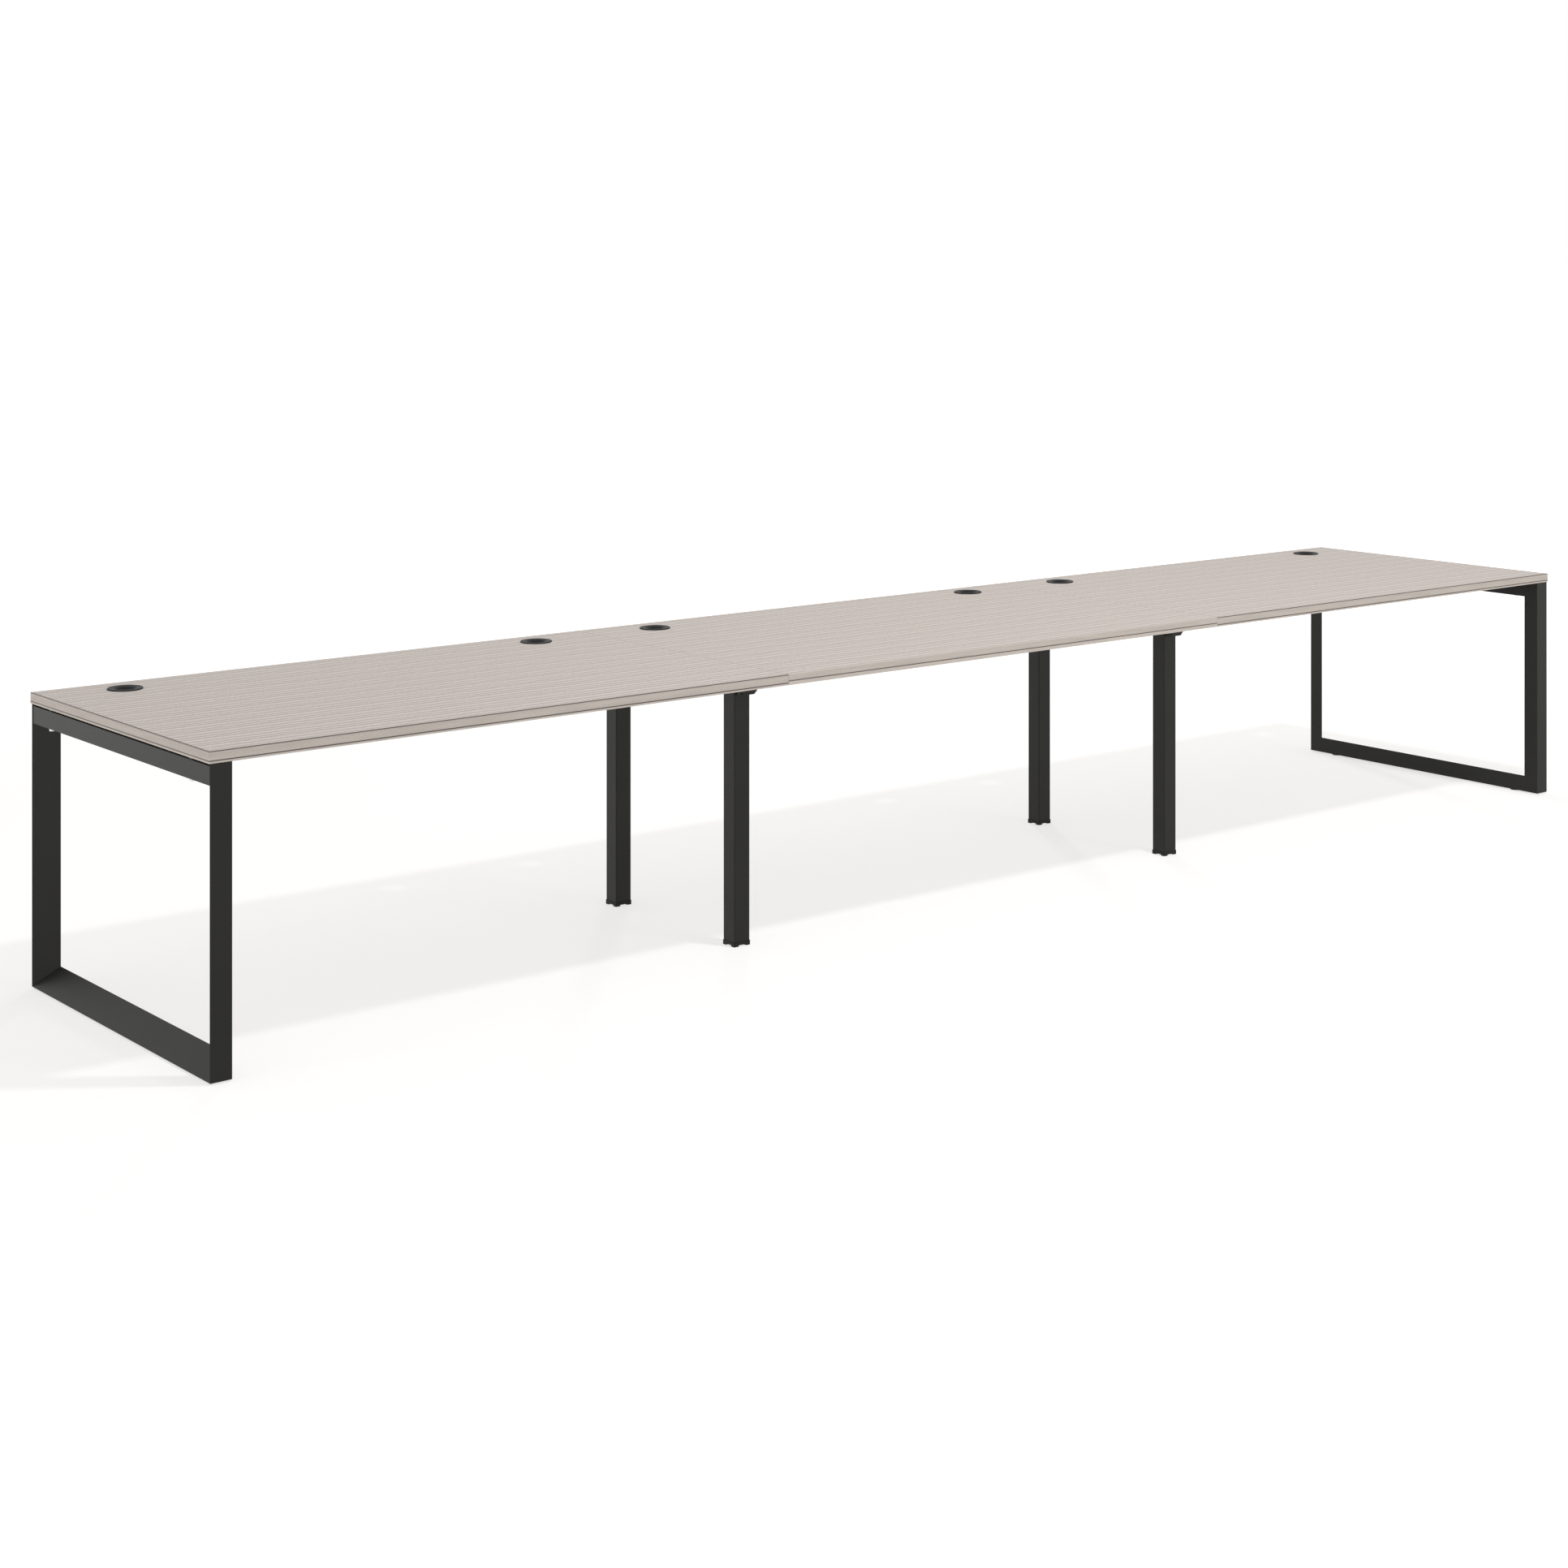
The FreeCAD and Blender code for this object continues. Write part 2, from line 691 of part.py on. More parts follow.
def make_post_ends():
    """Plugs on top of the posts, threaded sockets in their lower ends, and the notched feet."""
    plugs = new_body("post_top_plugs")
    for x, y in post_places():
        extrude(plugs, "Pad", "XY_Plane", "rail_top", "spacer_height", square(x, y, "half_post"))
        skirt = square(x, y, "plug_half")
        extrude(plugs, "Pad", "XY_Plane", "rail_top - plug_skirt", "plug_skirt", skirt)
    sockets = new_body("foot_sockets")
    for x, y in post_places():
        rings = square(x, y, "plug_half"), circle(x, y, "foot_stud_radius + stud_clearance")
        extrude(sockets, "Pad", "XY_Plane", "foot_height", "foot_socket_height", *rings)
    names = [f"foot_{side}_{row}" for side, _ in POSTS for row, _, _ in POST_ROWS]
    for name, (x, y) in zip(names, post_places()):
        foot = new_body(name)
        extrude(foot, "Pad", "XY_Plane", "0", "foot_height", square(x, y, "foot_half"))
        round_edges(foot, "post_round", runs_along(FreeCAD.Vector(0, 0, 1)))
        reach = "2 * foot_half + 2 * overrun"
        for plane, along, across in (("YZ_Plane", x, y), ("XZ_Plane", y, x)):
            channel = rectangle(
                f"{across} - foot_channel_width / 2",
                "-1 * overrun",
                f"{across} + foot_channel_width / 2",
                "foot_channel_height",
            )
            extrude(foot, "Pocket", plane, f"{along} - foot_half - overrun", reach, channel)
        stud = circle(x, y, "foot_stud_radius")
        extrude(foot, "Pad", "XY_Plane", "foot_height", "foot_stud_length", stud)


def make_bracket(name, post_x, post_y, out):
    """Folded bracket on the outer face of a post: a plate with a 45 degree end, and two flanges."""
    body = new_body(name)
    left = f"{post_x} - half_post + bracket_setback"
    foot_end = f"{post_x} + half_post"
    head_end = f"{foot_end} + bracket_height"
    in_front = out == "-1"
    low_y = f"{post_y} - half_post - bracket_depth" if in_front else f"{post_y} + half_post"
    plate_y = low_y if in_front else f"{low_y} + bracket_depth - bracket_sheet"
    inside_y = f"{low_y} + bracket_sheet" if in_front else low_y
    notch_y = f"{low_y} + bracket_depth - bracket_notch" if in_front else f"{low_y} - overrun"
    plate = polygon(
        (left, "bracket_bottom"),
        (foot_end, "bracket_bottom"),
        (head_end, "top_underside"),
        (left, "top_underside"),
    )
    extrude(body, "Pad", "XZ_Plane", low_y, "bracket_depth", plate)
    round_edges(body, "bracket_bend", is_bend(body))
    inside = rectangle(
        f"{left} + bracket_sheet",
        "bracket_bottom - overrun",
        f"{head_end} + overrun",
        "top_underside - bracket_sheet",
    )
    extrude(body, "Pocket", "XZ_Plane", inside_y, "bracket_depth - bracket_sheet", inside)
    through = "bracket_sheet + 2 * overrun"
    relief = circle(
        f"{left} + bracket_relief_inset",
        "bracket_bottom + bracket_relief_inset",
        "bracket_relief_radius",
    )
    extrude(body, "Pocket", "XZ_Plane", f"{plate_y} - overrun", through, relief)
    notch = rectangle(
        notch_y,
        "bracket_bottom + bracket_notch",
        f"{notch_y} + bracket_notch + overrun",
        "top_underside - bracket_sheet",
    )
    extrude(body, "Pocket", "YZ_Plane", f"{left} - overrun", through, notch)
    screw_y = f"{post_y} + {out} * bracket_screw_y"
    holes = [circle(x, screw_y, "screw_hole_radius") for x in (post_x, f"{post_x} + far_screw")]
    extrude(body, "Pocket", "XY_Plane", "top_underside - bracket_sheet - overrun", through, *holes)


def make_brackets():
    """A bracket on the outer face of each post, and the screws up into the worktops."""
    for side, post_x in POSTS:
        for row, post_y, out in POST_ROWS:
            make_bracket(f"{side}_bracket_{row}", post_x, post_y, out)
    spots = in_every_bay(bracket_screw_places)
    seat = "top_underside - bracket_sheet"
    screws = new_body("bracket_screws")
    heads = [circle(x, y, "screw_head_radius") for x, y in spots]
    extrude(screws, "Pad", "XY_Plane", f"{seat} - screw_head_height", "screw_head_height", *heads)
    shanks = [circle(x, y, "screw_radius") for x, y in spots]
    extrude(screws, "Pad", "XY_Plane", seat, "bracket_sheet + screw_bite", *shanks)


def make_beams():
    """Beams between the frames and the posts, the spigots they push onto, and their locking screws."""
    for bay, start, end in BEAM_SPANS:
        for row, post_y, _ in POST_ROWS:
            beam = new_body(f"beam_{bay}_{row}")
            length = f"({end}) - ({start})"
            outside = rectangle(
                f"{post_y} - beam_width / 2", "beam_bottom", f"{post_y} + beam_width / 2", "rail_top"
            )
            extrude(beam, "Pad", "YZ_Plane", start, length, outside)
            round_edges(beam, "tube_round", runs_along(FreeCAD.Vector(1, 0, 0)))
            hollow = rectangle(
                f"{post_y} - beam_width / 2 + tube_wall",
                "beam_bottom + tube_wall",
                f"{post_y} + beam_width / 2 - tube_wall",
                "rail_top - tube_wall",
            )
            extrude(beam, "Pocket", "YZ_Plane", f"{start} - overrun", f"{length} + 2 * overrun", hollow)
            holes = [
                circle(f"{start} + spigot_length / 2", post_y, "lock_hole_radius"),
                circle(f"{end} - spigot_length / 2", post_y, "lock_hole_radius"),
            ]
            through = "tube_wall + 2 * overrun"
            extrude(beam, "Pocket", "XY_Plane", "beam_bottom - overrun", through, *holes)
    spigots = new_body("beam_spigots")
    blocks = [
        rectangle(start, f"{post_y} - spigot_half", end, f"{post_y} + spigot_half")
        for start, end, post_y in spigot_spans()
    ]
    extrude(spigots, "Pad", "XY_Plane", "spigot_bottom", "spigot_height", *blocks)
    bores = [circle(x, y, "lock_hole_radius") for x, y in lock_places()]
    extrude(spigots, "Pocket", "XY_Plane", "spigot_bottom - overrun", "lock_bite + 2 * overrun", *bores)
    locks = new_body("beam_screws")
    heads = [circle(x, y, "lock_head_radius") for x, y in lock_places()]
    extrude(locks, "Pad", "XY_Plane", "beam_bottom - lock_head_height", "lock_head_height", *heads)
    shanks = [circle(x, y, "lock_radius") for x, y in lock_places()]
    extrude(locks, "Pad", "XY_Plane", "beam_bottom", "tube_wall + fit_clearance + lock_bite", *shanks)


def check_model():
    """Stop on any failed object, empty cut or broken shape."""
    for item in doc.Objects:
        if "Invalid" in item.State or "Error" in item.State:
            raise RuntimeError(f"{item.Label} failed: {item.State}")
        if item.TypeId == "PartDesign::Pocket" and item.Shape.Volume >= item.BaseFeature.Shape.Volume:
            raise RuntimeError(f"{item.Label} cuts nothing")
    for body in nodes:
        if body.Shape.isNull() or not body.Shape.isValid():
            raise RuntimeError(f"{body.Label} has no valid shape")


def write_parts():
    """Write each sub-part to a file named after it."""
    os.makedirs("parts", exist_ok=True)
    for body in nodes:
        body.Shape.exportStep(f"parts/{body.Label}.step")
        print(f"{body.Label}: {len(body.Shape.Solids)} solids, {body.Shape.Volume / 1000:.1f} cm3")


make_sheet()
make_places()
doc.recompute()
places = doc.getObject("places")
make_worktops()
make_edgings()
make_ports()
make_end_frames()
make_frame_fixings()
make_glides()
make_posts()
make_post_ends()
make_brackets()
make_beams()
doc.recompute()
check_model()
write_parts()
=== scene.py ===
"""Bench workstation: finishes, fixings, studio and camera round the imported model.

Metres, +Z up, in the model's own frame. Three worktops stand end to end along X on two
loop end frames and two pairs of posts, with their cable ports along the back edge at +Y.
"""

import logging
import math
from dataclasses import dataclass
from enum import Enum
from typing import ClassVar

import bmesh
import bpy
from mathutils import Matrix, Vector


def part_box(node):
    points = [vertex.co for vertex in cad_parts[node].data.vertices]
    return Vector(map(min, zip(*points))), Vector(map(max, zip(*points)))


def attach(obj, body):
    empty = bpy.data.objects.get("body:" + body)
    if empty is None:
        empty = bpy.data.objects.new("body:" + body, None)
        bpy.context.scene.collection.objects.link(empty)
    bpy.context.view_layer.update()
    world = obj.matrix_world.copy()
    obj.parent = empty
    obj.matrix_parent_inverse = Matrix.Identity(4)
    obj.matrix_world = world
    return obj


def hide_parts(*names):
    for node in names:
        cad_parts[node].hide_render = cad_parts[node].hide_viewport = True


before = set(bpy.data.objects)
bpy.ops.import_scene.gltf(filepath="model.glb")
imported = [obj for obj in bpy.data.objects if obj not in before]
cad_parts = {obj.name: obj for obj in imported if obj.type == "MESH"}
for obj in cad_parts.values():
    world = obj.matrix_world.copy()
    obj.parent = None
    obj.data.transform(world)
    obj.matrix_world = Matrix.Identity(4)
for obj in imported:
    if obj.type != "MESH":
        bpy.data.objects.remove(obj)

log = logging.getLogger("bench")

Colour = tuple[float, float, float]
Triple = tuple[float, float, float]
Waves = tuple[float, float, float, float]
Limits = tuple[float, float]
Outline = tuple[tuple[float, float], ...]
Socket = bpy.types.NodeSocket

# Sides and steps of the grown shapes, and how their meshes are welded and shaded.
HEXAGON = 6
SHANK_SIDES = 24
ROUND_SIDES = 40
LATHE_STEPS = 13
RIDGE_SIDES = 4
RIDGE_STEPS = 28
WELD_REACH = 1e-6
SHARP_ANGLE = math.radians(32.0)


class Slot(Enum):
    """Material slots of the record for the built pieces; nothing in the script uses them."""

    FOOT = "foot_plastic"
    ZINC = "zinc_fixing"


class Bay(Enum):
    """The three worktops, from left to right."""

    LEFT = "left"
    MIDDLE = "middle"
    RIGHT = "right"


class Side(Enum):
    """The two ends of the bench, and the two pairs of posts."""

    LEFT = "left"
    RIGHT = "right"


class Row(Enum):
    """The two long sides of the bench."""

    FRONT = "front"
    REAR = "rear"


class Drive(Enum):
    """How the head of a fastener is turned."""

    OUTER_HEX = "outer hexagon"
    CROSS = "cross recess"
    HEX_SOCKET = "hexagon socket"


class ShaderGraph:
    """A material being built: one principled surface and the nodes that feed it."""

    # Edges lightened for wear, and on the powder coat also as a painted highlight: rays per point,
    # how far the normal turns, waves per metre, and what they cover.
    EDGE_SAMPLES: int = 6
    EDGE_TURN: Limits = (0.99, 0.80)
    EDGE_BREAKS: Triple = (70.0, 70.0, 70.0)
    EDGE_COVER: Limits = (0.35, 0.75)

    def __init__(self, name: str) -> None:
        """Start a material with a bare surface.

        Args:
            name: Name of the material.
        """
        self.material = bpy.data.materials.new(name)
        self.material.use_nodes = True
        self.tree = self.material.node_tree
        self.tree.nodes.clear()
        self.surface = self.add("ShaderNodeBsdfPrincipled")
        output = self.add("ShaderNodeOutputMaterial")
        self.tree.links.new(self.surface.outputs["BSDF"], output.inputs["Surface"])
        self.place = self.add("ShaderNodeTexCoord").outputs["Object"]
        split = self.add("ShaderNodeSeparateXYZ")
        self.feed(split.inputs[0], self.place)
        self.x, self.y, self.z = split.outputs

    def add(self, kind: str, **settings: object) -> bpy.types.Node:
        """Add a node and set its properties.

        Args:
            kind: Blender's name for the type of node.
            settings: Properties of the node.

        Returns:
            The new node.
        """
        node = self.tree.nodes.new(kind)
        for key, value in settings.items():
            setattr(node, key, value)
        return node

    def feed(self, socket: Socket, value: object) -> None:
        """Link a socket to an output, or set it to a constant.

        Args:
            socket: Input to feed.
            value: Output socket, number or colour.
        """
        if isinstance(value, Socket):
            self.tree.links.new(value, socket)
        else:
            socket.default_value = value

    def math(self, operation: str, *values: object) -> Socket:
        """Combine values in a Math node.

        Args:
            operation: Operation of the node.
            values: Numbers or outputs, in the order of its inputs.

        Returns:
            The result.
        """
        node = self.add("ShaderNodeMath", operation=operation)
        for socket, value in zip(node.inputs, values):
            self.feed(socket, value)
        return node.outputs[0]

    def spread(
        self, value: Socket, low: float, high: float, start: float = 0.0, end: float = 1.0
    ) -> Socket:
        """Map a value smoothly from one range to another.

        Args:
            value: Value to map.
            low: Value that gives the start.
            high: Value that gives the end.
            start: Result at and before low.
            end: Result at and after high.

        Returns:
            The mapped value.
        """
        node = self.add("ShaderNodeMapRange", interpolation_type="SMOOTHSTEP")
        names = ("From Min", "From Max", "To Min", "To Max")
        for name, number in zip(names, (low, high, start, end)):
            node.inputs[name].default_value = number
        self.feed(node.inputs["Value"], value)
        return node.outputs["Result"]

    def noise(self, stretch: Triple, detail: float = 2.0, shift: float = 0.0) -> Socket:
        """Noise on Object coordinates.

        Args:
            stretch: Waves per metre along each axis.
            detail: Finer layers of the noise.
            shift: Offset that keeps two noises apart.

        Returns:
            Noise between 0 and 1.
        """
        mapping = self.add("ShaderNodeMapping")
        mapping.inputs["Scale"].default_value = stretch
        mapping.inputs["Location"].default_value = (shift, shift, shift)
        self.feed(mapping.inputs["Vector"], self.place)
        texture = self.add("ShaderNodeTexNoise")
        texture.inputs["Scale"].default_value = 1.0
        texture.inputs["Detail"].default_value = detail
        self.feed(texture.inputs["Vector"], mapping.outputs["Vector"])
        return texture.outputs["Fac"]

    def mix(self, factor: object, first: object, second: object) -> Socket:
        """Mix two colours.

        Args:
            factor: Share of the second colour.
            first: Colour or output.
            second: Colour or output.

        Returns:
            The mixed colour.
        """
        node = self.add("ShaderNodeMix", data_type="RGBA")
        self.feed(node.inputs[0], factor)
        for socket, value in ((node.inputs[6], first), (node.inputs[7], second)):
            self.feed(socket, (*value, 1.0) if isinstance(value, tuple) else value)
        return node.outputs[2]

    def edges(self, reach: float) -> Socket:
        """Mask of the edges of a piece, broken up as wear is.

        Args:
            reach: Distance from an edge that the mask covers, in metres.

        Returns:
            Mask from 0 on flat faces to 1 on edges.
        """
        bevel = self.add("ShaderNodeBevel", samples=self.EDGE_SAMPLES)
        bevel.inputs["Radius"].default_value = reach
        normal = self.add("ShaderNodeNewGeometry")
        turn = self.add("ShaderNodeVectorMath", operation="DOT_PRODUCT")
        self.feed(turn.inputs[0], bevel.outputs["Normal"])
        self.feed(turn.inputs[1], normal.outputs["Normal"])
        edge = self.spread(turn.outputs["Value"], *self.EDGE_TURN)
        cover = self.spread(self.noise(self.EDGE_BREAKS, detail=3.0), *self.EDGE_COVER)
        return self.math("MULTIPLY", edge, cover)

    def bump(self, height: Socket, strength: float, depth: float) -> None:
        """Roughen the surface by a height.

        Args:
            height: Height between 0 and 1.
            strength: Strength of the effect.
            depth: Height of the bumps in metres.
        """
        node = self.add("ShaderNodeBump")
        node.inputs["Strength"].default_value = strength
        node.inputs["Distance"].default_value = depth
        self.feed(node.inputs["Height"], height)
        self.feed(self.surface.inputs["Normal"], node.outputs["Normal"])

    def set(self, **values: object) -> None:
        """Feed inputs of the surface by name, with _ for a space.

        Args:
            values: Outputs, numbers or colours.
        """
        for name, value in values.items():
            self.feed(self.surface.inputs[name.replace("_", " ")], value)


@dataclass(frozen=True)
class LaminateFinish:
    """Pale laminate with stripes along the bench that repeat across its depth."""

    bay: Bay
    phases: Waves
    light: Colour = (0.705, 0.638, 0.592)
    dark: Colour = (0.413, 0.363, 0.327)
    fleck: Colour = (0.260, 0.224, 0.205)
    repeat: float = 0.080
    sizes: Waves = (0.057, 0.100, 0.285, 0.080)
    grain_scale: Triple = (14.0, 900.0, 300.0)
    grain_share: float = 0.28
    speckle_scale: Triple = (190.0, 95.0, 95.0)
    speckle_share: float = 0.74
    drift_scale: Triple = (2.2, 26.0, 26.0)
    drift_share: float = 0.05
    fleck_scale: Triple = (55.0, 620.0, 620.0)
    fleck_limits: Limits = (0.69, 0.80)
    roughness: Limits = (0.52, 0.64)
    ior: float = 1.33

    def stripes(self, graph: ShaderGraph) -> Socket:
        """Sum of the waves across the depth of the bench.

        Args:
            graph: Material that gets the nodes.

        Returns:
            Stripes about 0.5, dark below it and light above.
        """
        total: object = 0.5
        for count, (size, phase) in enumerate(zip(self.sizes, self.phases), 1):
            turn = 2.0 * math.pi * count / self.repeat
            angle = graph.math("MULTIPLY_ADD", graph.y, turn, math.radians(phase))
            total = graph.math("MULTIPLY_ADD", graph.math("COSINE", angle), size, total)
        return total

    def build(self) -> bpy.types.Material:
        """Build the material of one board.

        Returns:
            The material.
        """
        graph = ShaderGraph(f"worktop_{self.bay.value}_laminate")
        grain = graph.noise(self.grain_scale, detail=3.0)
        speckle = graph.noise(self.speckle_scale, detail=1.0, shift=13.0)
        drift = graph.noise(self.drift_scale, shift=7.0)
        shares = (self.grain_share, self.speckle_share, self.drift_share)
        tone = self.stripes(graph)
        for layer, share in zip((grain, speckle, drift), shares):
            tone = graph.math("MULTIPLY_ADD", graph.math("SUBTRACT", layer, 0.5), share, tone)
        colour = graph.mix(tone, self.dark, self.light)
        flecks = graph.noise(self.fleck_scale, detail=1.0, shift=31.0)
        colour = graph.mix(graph.spread(flecks, *self.fleck_limits), colour, self.fleck)
        graph.set(Base_Color=colour, IOR=self.ior)
        graph.set(Roughness=graph.spread(grain, 0.2, 0.8, *self.roughness))
        graph.bump(grain, strength=0.25, depth=0.00006)
        return graph.material


@dataclass(frozen=True)
class EdgeLine:
    """Dark line along an edging, by its height, half its width and how dark it is."""

    height: float
    half_width: float
    share: float


@dataclass(frozen=True)
class EdgingFinish:
    """Edging in the colour of the board, with the dark lines of its own worktop."""

    bay: Bay
    lines: tuple[EdgeLine, ...]
    body: Colour = (0.560, 0.502, 0.448)
    pale: Colour = (0.597, 0.535, 0.478)
    line: Colour = (0.072, 0.058, 0.055)
    seam: float = 0.8003
    end_share: float = 0.86
    side_face: Limits = (0.4970, 0.4985)
    end_face: Limits = (2.3990, 2.4000)
    seam_reach: Limits = (0.0030, 0.0040)
    pale_fade: float = 0.002
    line_core: float = 0.4
    speckle_scale: Triple = (260.0, 260.0, 260.0)
    drift_scale: Triple = (6.0, 6.0, 90.0)
    shade_share: float = 0.15
    roughness: Limits = (0.48, 0.62)
    ior: float = 1.36

    def shown(self, graph: ShaderGraph) -> Socket:
        """Mask that leaves the lines off the worktops' joints and pales them on the bench's ends.

        Args:
            graph: Material that gets the nodes.

        Returns:
            0 at the joints, a share on the bench's ends and 1 elsewhere.
        """
        along = graph.math("ABSOLUTE", graph.x)
        from_seam = graph.math("ABSOLUTE", graph.math("SUBTRACT", along, self.seam))
        on_side = graph.spread(graph.math("ABSOLUTE", graph.y), *self.side_face)
        clear = graph.math("MAXIMUM", on_side, graph.spread(from_seam, *self.seam_reach))
        on_end = graph.spread(along, *self.end_face, 1.0, self.end_share)
        return graph.math("MULTIPLY", on_end, clear)

    def build(self) -> bpy.types.Material:
        """Build the material of one worktop's edging.

        Returns:
            The material.
        """
        graph = ShaderGraph(f"edging_{self.bay.value}_finish")
        speckle = graph.noise(self.speckle_scale, detail=3.0)
        drift = graph.noise(self.drift_scale, shift=5.0)
        lowest = min(item.height for item in self.lines)
        below = graph.spread(graph.z, lowest, lowest - self.pale_fade)
        colour = graph.mix(below, self.body, self.pale)
        shade = graph.spread(graph.math("ADD", speckle, drift), 0.7, 1.3)
        colour = graph.mix(graph.math("MULTIPLY", shade, self.shade_share), colour, self.line)
        shown = self.shown(graph)
        for item in self.lines:
            away = graph.math("ABSOLUTE", graph.math("SUBTRACT", graph.z, item.height))
            mask = graph.spread(away, item.half_width, self.line_core * item.half_width)
            share = graph.math("MULTIPLY", mask, graph.math("MULTIPLY", shown, item.share))
            colour = graph.mix(share, colour, self.line)
        graph.set(Base_Color=colour, IOR=self.ior)
        graph.set(Roughness=graph.spread(speckle, 0.3, 0.7, *self.roughness))
        graph.bump(speckle, strength=0.2, depth=0.00005)
        return graph.material


@dataclass(frozen=True)
class PowderCoatFinish:
    """Near-black powder coat with a fine texture, lightened a little on its edges for wear and as a
    painted highlight.
    """

    body: Colour = (0.0084, 0.0081, 0.0068)
    thin: Colour = (0.0070, 0.0068, 0.0057)
    # Edge colour: partly wear of the coat, partly a painted highlight along the edges.
    rubbed_and_highlight: Colour = (0.020, 0.0195, 0.018)
    peel_scale: Triple = (620.0, 620.0, 620.0)
    patch_scale: Triple = (9.0, 9.0, 9.0)
    edge_reach: float = 0.0012
    edge_share: float = 0.25
    roughness: Limits = (0.36, 0.44)
    ior: float = 1.36

    def build(self) -> bpy.types.Material:
        """Build the material of the frames, posts, beams and brackets.

        Returns:
            The material.
        """
        graph = ShaderGraph("frame_powder_coat")
        peel = graph.noise(self.peel_scale)
        patch = graph.noise(self.patch_scale, shift=3.0)
        colour = graph.mix(graph.spread(patch, 0.3, 0.7), self.thin, self.body)
        # Lighter edges: partly wear of the coat, partly a painted highlight where light catches the
        # rounded edges.
        rub = graph.math("MULTIPLY", graph.edges(self.edge_reach), self.edge_share)
        colour = graph.mix(rub, colour, self.rubbed_and_highlight)
        graph.set(Base_Color=colour, IOR=self.ior)
        graph.set(Roughness=graph.spread(peel, 0.3, 0.7, *self.roughness))
        graph.bump(peel, strength=0.16, depth=0.00006)
        return graph.material


@dataclass(frozen=True)
class MouldedPlasticFinish:
    """Moulded plastic with a fine satin grain."""

    name: str
    body: Colour
    worn: Colour
    roughness: float
    ior: float = 1.45
    roughness_play: Limits = (-0.05, 0.06)
    grain_scale: Triple = (900.0, 900.0, 900.0)
    patch_scale: Triple = (40.0, 40.0, 40.0)
    wear_share: float = 0.5
    edge_reach: float = 0.0010

    def build(self) -> bpy.types.Material:
        """Build the material of a plastic piece.

        Returns:
            The material.
        """
        graph = ShaderGraph(self.name)
        grain = graph.noise(self.grain_scale)
        patch = graph.noise(self.patch_scale, shift=11.0)
        wear = graph.math("MULTIPLY", graph.spread(patch, 0.35, 0.75), self.wear_share)
        colour = graph.mix(wear, self.body, self.worn)
        rub = graph.math("MULTIPLY", graph.edges(self.edge_reach), self.wear_share)
        colour = graph.mix(rub, colour, self.worn)
        graph.set(Base_Color=colour, IOR=self.ior)
        low, high = (self.roughness + play for play in self.roughness_play)
        graph.set(Roughness=graph.spread(graph.math("ADD", grain, patch), 0.6, 1.4, low, high))
        graph.bump(grain, strength=0.18, depth=0.00005)
        return graph.material


@dataclass(frozen=True)
class ZincFinish:
    """Bright zinc plate with faint mottling."""

    bright: Colour = (0.86, 0.86, 0.85)
    dull: Colour = (0.70, 0.70, 0.68)
    mottle_scale: Triple = (260.0, 260.0, 260.0)
    turned_scale: Triple = (90.0, 90.0, 1600.0)
    roughness: Limits = (0.24, 0.42)

    def build(self) -> bpy.types.Material:
        """Build the material of the bolts, screws, nuts and spigots.

        Returns:
            The material.
        """
        graph = ShaderGraph("zinc_plate")
        mottle = graph.noise(self.mottle_scale, detail=3.0)
        turned = graph.noise(self.turned_scale, shift=17.0)
        colour = graph.mix(graph.spread(mottle, 0.3, 0.75), self.bright, self.dull)
        graph.set(Base_Color=colour, Metallic=1.0)
        dullness = graph.math("ADD", mottle, turned)
        graph.set(Roughness=graph.spread(dullness, 0.6, 1.4, *self.roughness))
        graph.bump(turned, strength=0.15, depth=0.00004)
        return graph.material


